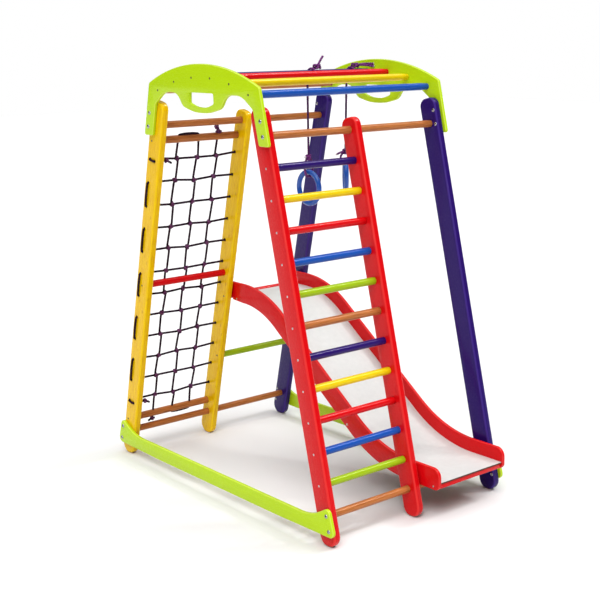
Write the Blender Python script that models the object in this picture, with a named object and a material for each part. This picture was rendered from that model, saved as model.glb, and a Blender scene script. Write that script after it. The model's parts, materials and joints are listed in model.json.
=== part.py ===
"""Indoor climbing frame for a small child: an A-frame of six plywood legs with a rung ladder and a rope net in
its near bay, a curved slide in its far bay, a monkey-bar roof and two hanging rings. Metres, +Z up.

X runs along the roof bars, from the near end with the ladder to the far end. The ladder side faces -Y and the
net side faces +Y. The origin is on the floor, under the middle of the whole object's box.
"""

import math

import bmesh
import bpy
from mathutils import Vector

# Driving dimensions
CLEAR = 0.0003  # gap between pieces that touch
FRAME_LENGTH = 0.7815  # near legs' outer faces to far legs' outer faces
LADDER_BAY = 0.347  # clear width between the two ladder legs
LEG_THICK = 0.026
LEG_WIDE = 0.076
LEG_SLOPE = math.radians(13.5)
LEG_EDGE_ROUND = 0.006
FOOT_Y = 0.619  # a leg's centre line at the floor, from the middle of the frame
FOOT_FLAT = 0.017  # width of the flat that the round foot stands on
OUTER_LEG_TOP = 1.388
INNER_LEG_TOP = 1.340
LEG_TOP_R = 0.029  # the corners of a leg's top, which is cut square to it

ROUND_SIDES = 12  # sides of every turned bar
BAR_R = 0.0128
NET_BAR_R = 0.0138
SOCKET_DEPTH = 0.014
SOCKET_CLEAR = 0.0004
BAR_END_GAP = 0.0004

BOTTOM_BAR_ALONG = 0.0992  # the places along a leg are measured on its centre line, up from the floor
RUNG_PITCH = 0.1028
FRONT_TOP_BAR_ALONG, BACK_TOP_BAR_ALONG = 1.3335, 1.3380
MIDDLE_RUNG_ALONG = 0.7203
REAR_RUNG_ALONG, HOOK_BAR_ALONG = 0.3631, 0.6253
FAR_BAY_ACROSS = -0.0190  # the far bay's back bars sit on the inner side of the legs' centre lines

PLATE_THICK = 0.012
PLATE_EDGE = 0.0015
ROOF_TOP = 1.519
ROOF_R = 0.775
ROOF_BAR_DEPTH = 0.0445  # roof bars' centres below the roof plate's curved edge
ROOF_BAR_STEP = math.radians(8.47)
ROOF_LEG_OUT, ROOF_LEG_IN = 0.048, -0.0028
ROOF_LEG_END = 1.266
ROOF_CUT = (  # (y, z, radius) corners of the roof plate's lower edge, from a leg to the middle
    (0.2850, 1.3780, 0.012),
    (0.2250, 1.4205, 0.045),
    (0.1431, 1.4205, 0.026),
    (0.1120, 1.3746, 0.020),
    (0.0400, 1.3572, 0.200),
)
HAND_HOLE = ((0.0705, 1.4240, 0.006), (0.0724, 1.3895, 0.008), (0.0350, 1.3757, 0.150))
BRACE_HALF = (
    (0.3600, 0.0360, 0.0),
    (0.6605, 0.0413, 0.019),
    (0.6310, 0.1420, 0.018),
    (0.5390, 0.0905, 0.200),
)
BRACE_END = 0.654

BOLT_HOLE_R = 0.0036
BOLT_SHANK_R = 0.003
BOLT_HEAD_R = 0.0072
BOLT_HEAD_HIGH = 0.0045
BOLT_NUT_R = 0.0065
BOLT_NUT_HIGH = 0.0022
ROOF_BOLT_ACROSS = 0.0265
ROOF_BOLTS_ALONG = (1.3274, 1.3767)
BRACE_BOLT_ACROSS = 0.028
BRACE_BOLT_ALONG = 0.1074

NET_ROPE_R = 0.0035
NET_HOLE_R = 0.0050
NET_ROWS = 12
NET_ROW_TOP = 1.2087
NET_ROW_PITCH = 0.0893
NET_COLUMNS = 3
NET_ACROSS = 0.0160
NET_TOP_BAR_ALONG, NET_BOTTOM_BAR_ALONG = 1.2767, 0.1440
NET_KNOT_R = 0.0080
NET_STAND_OFF = 0.0038  # how far the rope's centre stands off a face that it lies on
NET_STITCH = 0.028  # the rope's two ends go out through one hole and back in through another
NET_TAIL = 0.030

RAIL_WIDE, RAIL_TAIL_WIDE = 0.0767, 0.0675
RAIL_THICK = 0.012
SLIDE_GAP, SLIDE_FAR_GAP = 0.0080, 0.0193  # to the inner leg and to the far one
SLIDE_CREST = Vector((0.375, 0.659))  # (y, z) where the rails' upper edge starts to fall
SLIDE_SLOPE = math.radians(35.6)
SLIDE_TOP_R = 0.42
SLIDE_STRAIGHT_END = -0.300
SLIDE_FOOT_R = 0.46
SLIDE_TAIL, SLIDE_LIP = 0.489, -0.712
SHEET_DEPTH = 0.050
SHEET_THICK = 0.006
SHEET_TAIL, SHEET_LIP = 0.4395, -0.706
BATTEN_THICK = 0.016
BATTEN_WIDE = 0.040
BATTEN_PLACES = (0.4165, 0.045, -0.281, -0.684)
NOTCH_R = 0.0136

RING_R = 0.058
RING_TUBE_R = 0.0095
ROPE_R = 0.004
ROPE_BAR_LOOP_R = 0.0178
ROPE_RING_LOOP_R = 0.0160
ROPE_TURNS = 1.25  # of the rope round its bar
RINGS = {  # "along" is from the near legs, "knot_up" above the ring's top, and the rest from the rope or its knots
    "near": {
        "along": 0.4900,
        "ring_z": 1.0590,
        "turn": 0.0,
        "top_along": 0.015,
        "knot_along": 0.033,
        "knot_up": 0.054,
        "loop_half": 0.021,
        "upper_tail": (0.026, 0.000, 0.036),
        "lower_tail": (-0.020, -0.006, 0.002),
    },
    "far": {
        "along": 0.6690,
        "ring_z": 1.0895,
        "turn": -38.0,
        "top_along": 0.025,
        "knot_along": 0.028,
        "knot_up": 0.033,
        "loop_half": 0.0175,
        "upper_tail": (0.052, -0.046, -0.008),
        "lower_tail": (-0.047, -0.004, -0.008),
    },
}

# Places worked out from them
NEAR_X = -FRAME_LENGTH / 2
FAR_X = FRAME_LENGTH / 2
INNER_X = NEAR_X + LEG_THICK + LADDER_BAY  # near face of the two inner legs
LEGS_X = {"near": NEAR_X, "inner": INNER_X, "far": FAR_X - LEG_THICK}
Y_SHIFT = -(SLIDE_LIP + BRACE_END) / 2  # puts the slide's lip and the back brace ends equally far from the origin
FRONT, BACK = -1, 1
UP = Vector((-math.sin(LEG_SLOPE), math.cos(LEG_SLOPE)))  # along a back leg, as (y, z)
OUT = Vector((math.cos(LEG_SLOPE), math.sin(LEG_SLOPE)))  # square to it, away from the frame

RUNG_COLOURS = ("green", "blue", "red", "yellow", "purple", "wood")  # upwards from the second rung
ROOF_COLOURS = ("blue", "yellow", "red", "purple", "green", "wood")  # from the front to the back


def on_leg(side, along, across=0.0):
    """(y, z) of a point of a leg, along its centre line from the floor and across it, outwards."""
    place = Vector((FOOT_Y, 0)) + UP * along + OUT * across
    return Vector((side * place.x, place.y))


def clear_scene():
    for obj in list(bpy.data.objects):
        bpy.data.objects.remove(obj)


def material(name, colour, roughness, metallic=0.0):
    made = bpy.data.materials.new(name)
    made.use_nodes = True
    shader = made.node_tree.nodes["Principled BSDF"]
    shader.inputs["Base Color"].default_value = (*colour, 1)
    shader.inputs["Roughness"].default_value = roughness
    shader.inputs["Metallic"].default_value = metallic
    made.diffuse_color = (*colour, 1)
    return made


def empty(name, place, parent=None):
    """An axis or frame that pieces hang on, at a point of the object's own space."""
    made = bpy.data.objects.new(name, None)
    made.empty_display_size = 0.05
    bpy.context.scene.collection.objects.link(made)
    set_place(made, place, parent)
    return made


def set_place(obj, place, parent):
    obj.parent = parent
    obj["place"] = tuple(place)
    origin = Vector(parent["place"]) if parent else Vector()
    obj.location = Vector(place) - origin


def piece(name, bm, finish, place=(0, 0, 0), parent=None, turn=(0, 0, 0)):
    bmesh.ops.recalc_face_normals(bm, faces=bm.faces)
    mesh = bpy.data.meshes.new(name)
    bm.to_mesh(mesh)
    bm.free()
    if finish:
        mesh.materials.append(finish)
        mesh.shade_smooth()
        mesh.set_sharp_from_angle(angle=math.radians(35))
    obj = bpy.data.objects.new(name, mesh)
    bpy.context.scene.collection.objects.link(obj)
    set_place(obj, place, parent)
    obj.rotation_euler = turn
    return obj


def helper(name, bm, place=(0, 0, 0), parent=None):
    """A cutter or a shape to be joined to a piece: it isn't a piece itself."""
    obj = piece(name, bm, None, place, parent)
    obj.hide_render = True
    obj.display_type = "WIRE"
    return obj


def boolean(obj, other, operation):
    modifier = obj.modifiers.new(other.name, "BOOLEAN")
    modifier.operation = operation
    modifier.object = other


def add_turned(bm, profile, centre, sides=ROUND_SIDES):
    """A solid turned about an axis along X, from (x, radius) steps. Its corners are always at the same angles."""
    rings = []
    for x, radius in profile:
        ring = []
        for i in range(sides):
            angle = 2 * math.pi * (i + 0.5) / sides
            y = centre[0] + radius * math.cos(angle)
            z = centre[1] + radius * math.sin(angle)
            ring.append(bm.verts.new((x, y, z)))
        rings.append(ring)
    bm.faces.new(rings[0])
    bm.faces.new(rings[-1])
    for first, second in zip(rings, rings[1:]):
        for i in range(sides):
            j = (i + 1) % sides
            bm.faces.new((first[i], first[j], second[j], second[i]))


def add_round(bm, x_start, x_end, centre, radius, sides=ROUND_SIDES):
    """A solid cylinder along X, so a bar and its socket have their corners at the same angles."""
    add_turned(bm, [(x_start, radius), (x_end, radius)], centre, sides)


def add_plate(bm, outline, x_start, x_end):
    """A flat board from a (y, z) outline, and the edges round its two faces."""
    near = [bm.verts.new((x_start, y, z)) for y, z in outline]
    far = [bm.verts.new((x_end, y, z)) for y, z in outline]
    faces = [bm.faces.new(near), bm.faces.new(far)]
    for i in range(len(outline)):
        j = (i + 1) % len(outline)
        bm.faces.new((near[i], near[j], far[j], far[i]))
    return [edge for face in faces for edge in face.edges]


def ease_edges(bm, edges, width, segments):
    bmesh.ops.recalc_face_normals(bm, faces=bm.faces)
    bmesh.ops.bevel(bm, geom=edges, offset=width, segments=segments, affect="EDGES", clamp_overlap=True)


def rounded(corners, step=math.radians(22)):
    """An outline from (y, z, radius) corners, with an arc at each corner that has a radius."""
    outline = []
    for i, (y, z, radius) in enumerate(corners):
        corner = Vector((y, z))
        before = Vector(corners[i - 1][:2])
        after = Vector(corners[(i + 1) % len(corners)][:2])
        if radius == 0:
            outline.append(corner)
            continue
        into = (corner - before).normalized()
        away = (after - corner).normalized()
        turn = into.angle_signed(away)
        reach = radius * math.tan(abs(turn) / 2)
        start = corner - into * reach
        inward = Vector((-into.y, into.x)) * (-1 if turn > 0 else 1)
        centre = start + inward * radius
        count = max(1, math.ceil(abs(turn) / step))
        spoke = start - centre
        for k in range(count + 1):
            angle = -turn * k / count
            cos, sin = math.cos(angle), math.sin(angle)
            outline.append(centre + Vector((spoke.x * cos - spoke.y * sin, spoke.x * sin + spoke.y * cos)))
    return outline


def both_sides(half):
    """A whole outline from its +Y half, which runs from its middle and back to it."""
    return half + [(-y, z, r) for y, z, r in reversed(half)]


def add_tube(bm, path, radius, sides=6, closed=False):
    """A rope along a path, with flat ends, or joined to itself."""
    path = [Vector(p) for p in path]
    count = len(path)
    rings = []
    across = None
    for i, point in enumerate(path):
        if closed:
            along = (path[(i + 1) % count] - path[i - 1]).normalized()
        else:
            along = (path[min(i + 1, count - 1)] - path[max(i - 1, 0)]).normalized()
        if across is None:
            across = along.cross(Vector((0.31, 0.52, 0.79))).normalized()
        across = (across - along * across.dot(along)).normalized()
        other = along.cross(across)
        ring = []
        for k in range(sides):
            angle = 2 * math.pi * k / sides
            ring.append(bm.verts.new(point + radius * (across * math.cos(angle) + other * math.sin(angle))))
        rings.append(ring)
    pairs = list(zip(rings, rings[1:]))
    if closed:
        pairs.append((rings[-1], rings[0]))
    else:
        bm.faces.new(rings[0])
        bm.faces.new(rings[-1])
    for first, second in pairs:
        for k in range(sides):
            j = (k + 1) % sides
            bm.faces.new((first[k], first[j], second[j], second[k]))


def least_gap(path, radius):
    """The least gap between stretches of a rope that are more than two diameters apart along it."""
    points = [Vector(p) for p in path]
    dense, along = [], []
    run = 0.0
    for a, b in zip(points, points[1:]):
        count = max(1, math.ceil((b - a).length / radius))
        for k in range(count):
            dense.append(a.lerp(b, k / count))
            along.append(run + (b - a).length * k / count)
        run += (b - a).length
    gap = math.inf
    for i, p in enumerate(dense):
        for j in range(i + 1, len(dense)):
            if along[j] - along[i] > 8 * radius:
                gap = min(gap, (p - dense[j]).length - 2 * radius)
    return gap


def add_knot(bm, centre, size):
    made = bmesh.ops.create_uvsphere(bm, u_segments=6, v_segments=4, radius=1)
    for vert in made["verts"]:
        vert.co = Vector(centre) + vert.co * Vector(size)


def joined(name, shapes, finish, place, parent):
    """One piece made of several shapes that run into each other."""
    first = piece(name, shapes[0], finish, place, parent)
    for i, shape in enumerate(shapes[1:], 1):
        boolean(first, helper(f"{name}_join_{i}", shape, place, parent), "UNION")
    return first


def leg_outline(side, top):
    """A leg's (y, z) outline: rounded corners at the top, and a round foot with a flat under it."""
    half = LEG_WIDE / 2
    corner = half - LEG_TOP_R
    head_along = (top - LEG_TOP_R - math.sin(LEG_SLOPE) * corner) / math.cos(LEG_SLOPE)
    outer, inner = on_leg(BACK, head_along, corner), on_leg(BACK, head_along, -corner)
    foot_high = math.sqrt(half**2 - (FOOT_FLAT / 2) ** 2)
    foot = on_leg(BACK, foot_high / math.cos(LEG_SLOPE))
    cut = math.asin(FOOT_FLAT / 2 / half)
    quarter = LEG_SLOPE + math.pi / 2
    arcs = (
        (outer, LEG_TOP_R, LEG_SLOPE, quarter, 4),
        (inner, LEG_TOP_R, quarter, math.pi + LEG_SLOPE, 4),
        (foot, half, math.pi + LEG_SLOPE, 1.5 * math.pi - cut, 4),
        (foot, half, 1.5 * math.pi + cut, 2 * math.pi + LEG_SLOPE, 5),
    )
    outline = []
    for centre, radius, start, end, count in arcs:
        for k in range(count + 1):
            angle = start + (end - start) * k / count
            place = centre + radius * Vector((math.cos(angle), math.sin(angle)))
            outline.append((side * place.x, place.y))
    return outline


def make_legs(root, finish):
    tops = {"near": OUTER_LEG_TOP, "inner": INNER_LEG_TOP, "far": OUTER_LEG_TOP}
    legs = {}
    for side, side_name in ((FRONT, "front"), (BACK, "back")):
        for end, x in LEGS_X.items():
            bm = bmesh.new()
            edges = add_plate(bm, leg_outline(side, tops[end]), 0, LEG_THICK)
            ease_edges(bm, edges, LEG_EDGE_ROUND, 2)
            if end == "far":
                colour = "purple"
            elif side == FRONT:
                colour = "red"
            else:
                colour = "yellow"
            legs[side, end] = piece(f"{side_name}_leg_{end}", bm, finish[colour], (x, 0, 0), root)
    return legs


def bar(name, colour, start, end, centre, root, finish, radius=BAR_R):
    """A turned bar whose middle is its own origin."""
    middle = (start + end) / 2
    bm = bmesh.new()
    add_round(bm, start - middle, end - middle, (0, 0), radius)
    return piece(name, bm, finish[colour], (middle, *centre), root)


def make_bars(root, finish):
    """Every round bar, and the sockets and bores that it needs in the legs."""
    near_end = NEAR_X + LEG_THICK - SOCKET_DEPTH
    inner_near_end = INNER_X + SOCKET_DEPTH
    inner_far_end = INNER_X + LEG_THICK - SOCKET_DEPTH
    far_end = FAR_X - LEG_THICK + SOCKET_DEPTH
    spans = {
        "whole": (near_end, far_end, ("near", "inner", "far")),
        "near_bay": (near_end, inner_near_end, ("near", "inner")),
        "far_bay": (inner_far_end, far_end, ("inner", "far")),
    }
    plan = [
        ("front_bottom_bar", "wood", "whole", FRONT, BOTTOM_BAR_ALONG, 0, BAR_R),
        ("front_top_bar", "wood", "whole", FRONT, FRONT_TOP_BAR_ALONG, 0, BAR_R),
        ("back_bottom_bar", "wood", "whole", BACK, BOTTOM_BAR_ALONG, 0, BAR_R),
        ("back_top_bar", "wood", "whole", BACK, BACK_TOP_BAR_ALONG, 0, BAR_R),
        ("net_top_bar", "wood", "near_bay", BACK, NET_TOP_BAR_ALONG, NET_ACROSS, NET_BAR_R),
        ("net_bottom_bar", "wood", "near_bay", BACK, NET_BOTTOM_BAR_ALONG, NET_ACROSS, NET_BAR_R),
        ("net_middle_rung", "red", "near_bay", BACK, MIDDLE_RUNG_ALONG, 0, BAR_R),
        ("rear_low_rung", "green", "far_bay", BACK, REAR_RUNG_ALONG, FAR_BAY_ACROSS, BAR_R),
        ("slide_hook_bar", "red", "far_bay", BACK, HOOK_BAR_ALONG, FAR_BAY_ACROSS, BAR_R),
    ]
    for i in range(11):
        colour = RUNG_COLOURS[i % len(RUNG_COLOURS)]
        along = BOTTOM_BAR_ALONG + RUNG_PITCH * (i + 1)
        plan.append((f"ladder_rung_{i + 1:02d}", colour, "near_bay", FRONT, along, 0, BAR_R))
    bars, bores = {}, {}
    for name, colour, span, side, along, across, radius in plan:
        start, end, legs = spans[span]
        centre = on_leg(side, along, across)
        bars[name] = bar(name, colour, start + BAR_END_GAP, end - BAR_END_GAP, centre, root, finish, radius)
        for leg in legs:
            if leg == "near":
                depth = (near_end, NEAR_X + 2 * LEG_THICK)
            elif leg == "far":
                depth = (FAR_X - 2 * LEG_THICK, far_end)
            elif span == "whole":
                depth = (INNER_X - LEG_THICK, INNER_X + 2 * LEG_THICK)
            elif span == "near_bay":
                depth = (INNER_X - LEG_THICK, inner_near_end)
            else:
                depth = (inner_far_end, INNER_X + 2 * LEG_THICK)
            bores.setdefault((side, leg), []).append((*depth, centre, radius + SOCKET_CLEAR, ROUND_SIDES))
    roof_centre = ROOF_TOP - ROOF_R
    for i, colour in enumerate(ROOF_COLOURS):
        angle = ROOF_BAR_STEP * (i - 2.5)
        reach = ROOF_R - ROOF_BAR_DEPTH
        centre = (reach * math.sin(angle), roof_centre + reach * math.cos(angle))
        name = f"roof_bar_{i + 1}"
        bars[name] = bar(name, colour, NEAR_X + CLEAR, FAR_X - CLEAR, centre, root, finish)
    return bars, bores


def net_place(row, x):
    """Where the net's rope crosses a row, at a place along X."""
    return Vector((x, *on_leg(BACK, NET_ROW_TOP - NET_ROW_PITCH * row, NET_ACROSS)))


def net_sag(row, share):
    """How far the rope hangs under its row, part of the way along it."""
    deep = 0.008 if row == 0 else 0.003
    return Vector((0, 0, deep * 4 * share * (1 - share)))


def stitch(row):
    """The rope's end: from a knot on the near leg's inner face out through a second hole, and along the face."""
    along, across = NET_ROW_TOP - NET_ROW_PITCH * row, NET_ACROSS - NET_STITCH
    place = on_leg(BACK, along, across)
    inside = NEAR_X + LEG_THICK + NET_KNOT_R + 0.001
    return [Vector((inside, *place)), Vector((NEAR_X + 0.002, *place)), Vector((NEAR_X - NET_STAND_OFF, *place))]


def make_net(root, finish, bars, bores):
    """One rope laced to and fro through the legs, and one up and down through the bars, knotted together."""
    outside_near = NEAR_X - NET_STAND_OFF
    outside_inner = INNER_X + LEG_THICK + NET_STAND_OFF
    rows = []
    for row in range(NET_ROWS):
        left = [net_place(row, x) for x in (outside_near, NEAR_X + 0.002, NEAR_X + LEG_THICK)]
        right = [net_place(row, x) for x in (INNER_X, INNER_X + LEG_THICK - 0.002, outside_inner)]
        middle = []
        for share in (0.25, 0.5, 0.75):
            middle.append(left[-1].lerp(right[0], share) - net_sag(row, share))
        run = left + middle + right
        if row in (0, NET_ROWS - 1):
            run = stitch(row) + run
        rows += run if row % 2 == 0 else list(reversed(run))
    weft = bmesh.new()
    add_tube(weft, rows, NET_ROPE_R)
    print(f"net rope, to and fro: least gap to itself {1000 * least_gap(rows, NET_ROPE_R):.1f} mm")

    span = LADDER_BAY / (NET_COLUMNS + 1)
    columns = [NEAR_X + LEG_THICK + span * (i + 1) for i in range(NET_COLUMNS)]
    stand = NET_BAR_R + NET_STAND_OFF
    top = NET_TOP_BAR_ALONG + stand
    bottom = NET_BOTTOM_BAR_ALONG - stand

    def warp_point(x, along):
        return Vector((x, *on_leg(BACK, along, NET_ACROSS)))

    low_knot = warp_point(columns[0], bottom - NET_TAIL * 0.2)
    high_knot = warp_point(columns[2], top + NET_TAIL * 0.2)
    route = [warp_point(columns[0] - NET_TAIL * 0.6, bottom - NET_TAIL * 0.5), low_knot]
    route += [warp_point(columns[0], top), warp_point(columns[1], top)]
    route += [warp_point(columns[1], bottom), warp_point(columns[2], bottom)]
    route += [high_knot, warp_point(columns[2] - NET_TAIL * 0.5, top + NET_TAIL * 0.8)]
    warp = bmesh.new()
    add_tube(warp, route, NET_ROPE_R)

    knots = bmesh.new()
    ball = (NET_KNOT_R, NET_KNOT_R, NET_KNOT_R)
    for row in range(NET_ROWS):
        for i, x in enumerate(columns):
            share = (i + 1) / (NET_COLUMNS + 1)
            add_knot(knots, net_place(row, x) - net_sag(row, share), ball)
    add_knot(knots, low_knot, ball)
    add_knot(knots, high_knot, ball)
    for row in (0, NET_ROWS - 1):
        add_knot(knots, stitch(row)[0], ball)
    joined("climbing_net", [weft, warp, knots], finish["net_rope"], (0, 0, 0), root)

    for row in range(NET_ROWS):
        place = on_leg(BACK, NET_ROW_TOP - NET_ROW_PITCH * row, NET_ACROSS)
        bores[BACK, "near"].append((NEAR_X - LEG_THICK, NEAR_X + 2 * LEG_THICK, place, NET_HOLE_R, 8))
        bores[BACK, "inner"].append((INNER_X - LEG_THICK, INNER_X + 2 * LEG_THICK, place, NET_HOLE_R, 8))
    for row in (0, NET_ROWS - 1):
        place = stitch(row)[0].yz
        bores[BACK, "near"].append((NEAR_X - LEG_THICK, NEAR_X + 2 * LEG_THICK, place, NET_HOLE_R, 8))
    for name, along in (("net_top_bar", NET_TOP_BAR_ALONG), ("net_bottom_bar", NET_BOTTOM_BAR_ALONG)):
        bm = bmesh.new()
        for x in columns:
            ends = [warp_point(x, along - 2 * NET_BAR_R), warp_point(x, along + 2 * NET_BAR_R)]
            add_tube(bm, ends, NET_HOLE_R, sides=8)
        boolean(bars[name], helper(f"{name}_rope_holes", bm, (0, 0, 0), root), "DIFFERENCE")


def make_roof_plates(root, finish):
    """The two curved plates that carry the roof bars' ends, each with a hand hole and two finger arches."""
    middle_z = ROOF_TOP - ROOF_R

    def arc_z(y):
        return middle_z + math.sqrt(ROOF_R**2 - y**2)

    corner_z = ROOF_TOP - 0.06
    for _ in range(20):
        corner_y = FOOT_Y - corner_z * math.tan(LEG_SLOPE) + ROOF_LEG_OUT / math.cos(LEG_SLOPE)
        corner_z = arc_z(corner_y)
    half = [(corner_y * k / 10, arc_z(corner_y * k / 10), 0) for k in range(1, 10)]
    half.append((corner_y, corner_z, 0.012))
    for across in (ROOF_LEG_OUT, ROOF_LEG_IN):
        along = (ROOF_LEG_END - across * math.sin(LEG_SLOPE)) / math.cos(LEG_SLOPE)
        half.append((*on_leg(BACK, along, across), 0.008))
    half += ROOF_CUT
    outline = [(0, ROOF_TOP, 0)] + both_sides(half)
    slot = both_sides(list(HAND_HOLE))
    plates = {}
    for name, x in (("near", NEAR_X - CLEAR - PLATE_THICK), ("far", FAR_X + CLEAR)):
        bm = bmesh.new()
        edges = add_plate(bm, rounded(outline), 0, PLATE_THICK)
        ease_edges(bm, edges, PLATE_EDGE, 1)
        plates[name] = piece(f"roof_plate_{name}", bm, finish["lime"], (x, 0, 0), root)
        cutter = bmesh.new()
        add_plate(cutter, rounded(slot), -PLATE_THICK, 2 * PLATE_THICK)
        boolean(plates[name], helper(f"hand_hole_{name}", cutter, (x, 0, 0), root), "DIFFERENCE")
    return plates


def make_braces(root, finish):
    """The two low plates that tie a front foot to the back foot at each end."""
    outline = rounded(both_sides(list(BRACE_HALF)))
    braces = {}
    for name, x in (("near", NEAR_X - CLEAR - PLATE_THICK), ("far", FAR_X + CLEAR)):
        bm = bmesh.new()
        edges = add_plate(bm, outline, 0, PLATE_THICK)
        ease_edges(bm, edges, PLATE_EDGE, 1)
        braces[name] = piece(f"floor_brace_{name}", bm, finish["lime"], (x, 0, 0), root)
    return braces


def make_bolts(root, finish, legs, plates, braces, bores):
    """Bolts through the end plates and the outer legs, each with its nut on the inner face."""
    places = {"upper": [], "lower": []}
    for side, side_name in ((FRONT, "front"), (BACK, "back")):
        for i, along in enumerate(ROOF_BOLTS_ALONG):
            places["upper"].append((f"{side_name}_{i + 1}", side, on_leg(side, along, ROOF_BOLT_ACROSS)))
        places["lower"].append((side_name, side, on_leg(side, BRACE_BOLT_ALONG, BRACE_BOLT_ACROSS)))
    outer = PLATE_THICK + 2 * CLEAR
    profile = [
        (-outer - BOLT_HEAD_HIGH, BOLT_HEAD_R * 0.6),
        (-outer, BOLT_HEAD_R),
        (-outer, BOLT_SHANK_R),
        (LEG_THICK + CLEAR, BOLT_SHANK_R),
        (LEG_THICK + CLEAR, BOLT_NUT_R),
        (LEG_THICK + CLEAR + BOLT_NUT_HIGH, BOLT_NUT_R * 0.9),
    ]
    groups = (("roof_bolt", "upper", plates), ("brace_bolt", "lower", braces))
    for end, face, way in (("near", NEAR_X, 1), ("far", FAR_X, -1)):
        for prefix, level, plate in groups:
            holes = bmesh.new()
            for label, side, centre in places[level]:
                bm = bmesh.new()
                add_turned(bm, [(way * x, r) for x, r in profile], (0, 0), sides=8)
                piece(f"{prefix}_{end}_{label}", bm, finish["steel"], (face, *centre), root)
                start, stop = sorted((face - way * 2 * outer, face + way * 2 * LEG_THICK))
                bores[side, end].append((start, stop, centre, BOLT_HOLE_R, 8))
                add_round(holes, start, stop, centre, BOLT_HOLE_R, 8)
            boolean(plate[end], helper(f"{prefix}_holes_{end}", holes, (0, 0, 0), root), "DIFFERENCE")


def cut_bores(root, legs, bores):
    """Every leg's holes are cut in one step."""
    for key, holes in bores.items():
        bm = bmesh.new()
        for start, stop, centre, radius, sides in holes:
            add_round(bm, start, stop, centre, radius, sides)
        boolean(legs[key], helper(f"{legs[key].name}_bores", bm, (0, 0, 0), root), "DIFFERENCE")


def slide_path():
    """(place, normal) steps down the rails' upper edge, from the tail to the lip. Each normal points up."""
    slope = SLIDE_SLOPE
    steps = [(Vector((SLIDE_TAIL, SLIDE_CREST.y)), Vector((0, 1)))]
    centre = SLIDE_CREST - Vector((0, SLIDE_TOP_R))
    for k in range(9):
        angle = slope * k / 8
        normal = Vector((-math.sin(angle), math.cos(angle)))
        steps.append((centre + normal * SLIDE_TOP_R, normal))
    arc_end, normal = steps[-1]
    fall = (arc_end.x - SLIDE_STRAIGHT_END) * math.tan(slope)
    foot_start = Vector((SLIDE_STRAIGHT_END, arc_end.y - fall))
    centre = foot_start + normal * SLIDE_FOOT_R
    for k in range(9):
        angle = slope * (1 - k / 8)
        normal = Vector((-math.sin(angle), math.cos(angle)))
        steps.append((centre - normal * SLIDE_FOOT_R, normal))
    steps.append((Vector((SLIDE_LIP, steps[-1][0].y)), Vector((0, 1))))
    return steps


def on_slide(y, depth):
    """(place, slope angle) of a point under the rails' upper edge, near the given y."""
    steps = slide_path()
    for (a, normal_a), (b, normal_b) in zip(steps, steps[1:]):
        if a.x >= y >= b.x:
            share = (a.x - y) / (a.x - b.x)
            normal = normal_a.lerp(normal_b, share).normalized()
            return a.lerp(b, share) - normal * depth, math.atan2(-normal.x, normal.y)
    raise ValueError(f"{y} is off the slide")


def make_slide(root, finish, hinge, hook):
    steps = slide_path()
    upper = [place for place, _ in steps]
    lower = [place - normal * RAIL_WIDE for place, normal in steps]
    lower[0] = upper[0] - Vector((0, RAIL_TAIL_WIDE))
    corners = [(*upper[0], 0.022)] + [(*p, 0) for p in upper[1:-1]] + [(*upper[-1], 0.032)]
    corners += [(*lower[-1], 0.020)] + [(*p, 0) for p in reversed(lower[1:-1])] + [(*lower[0], 0.014)]
    outline = [(y - hook.x, z - hook.y) for y, z in rounded(corners)]
    inner = FAR_X - LEG_THICK - SLIDE_FAR_GAP
    left = INNER_X + LEG_THICK + SLIDE_GAP
    notch = [(NOTCH_R, -RAIL_WIDE, 0), (NOTCH_R, 0, 0)]
    notch += [(NOTCH_R * math.cos(math.pi * k / 8), NOTCH_R * math.sin(math.pi * k / 8), 0) for k in range(1, 8)]
    notch += [(-NOTCH_R, 0, 0), (-NOTCH_R, -RAIL_WIDE, 0)]
    for name, x in (("left", left), ("right", inner - RAIL_THICK)):
        bm = bmesh.new()
        edges = add_plate(bm, outline, 0, RAIL_THICK)
        ease_edges(bm, edges, 0.002, 1)
        rail = piece(f"slide_rail_{name}", bm, finish["red"], (x, *hook), hinge)
        cutter = bmesh.new()
        add_plate(cutter, rounded(notch), -RAIL_THICK, 2 * RAIL_THICK)
        boolean(rail, helper(f"slide_notch_{name}", cutter, (x, *hook), hinge), "DIFFERENCE")

    start, end = left + RAIL_THICK + CLEAR, inner - RAIL_THICK - CLEAR
    top, under = [], []
    ends = {0: SHEET_TAIL, len(steps) - 1: SHEET_LIP}
    for i, (place, normal) in enumerate(steps):
        at = Vector((ends.get(i, place.x), place.y))
        top.append(at - normal * SHEET_DEPTH)
        under.append(at - normal * (SHEET_DEPTH + SHEET_THICK))
    bm = bmesh.new()
    add_plate(bm, [(y - hook.x, z - hook.y) for y, z in top + list(reversed(under))], 0, end - start)
    piece("slide_sheet", bm, finish["sheet"], (start, *hook), hinge)

    thick = BATTEN_THICK
    for i, y in enumerate(BATTEN_PLACES):
        centre, slope = on_slide(y, SHEET_DEPTH + SHEET_THICK + thick / 2 + CLEAR)
        bm = bmesh.new()
        outline = [(BATTEN_WIDE / 2, thick / 2), (-BATTEN_WIDE / 2, thick / 2)]
        outline += [(-BATTEN_WIDE / 2, -thick / 2), (BATTEN_WIDE / 2, -thick / 2)]
        add_plate(bm, outline, 0, end - start)
        piece(f"slide_batten_{i + 1}", bm, finish["red"], (start, *centre), hinge, (slope, 0, 0))


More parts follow.
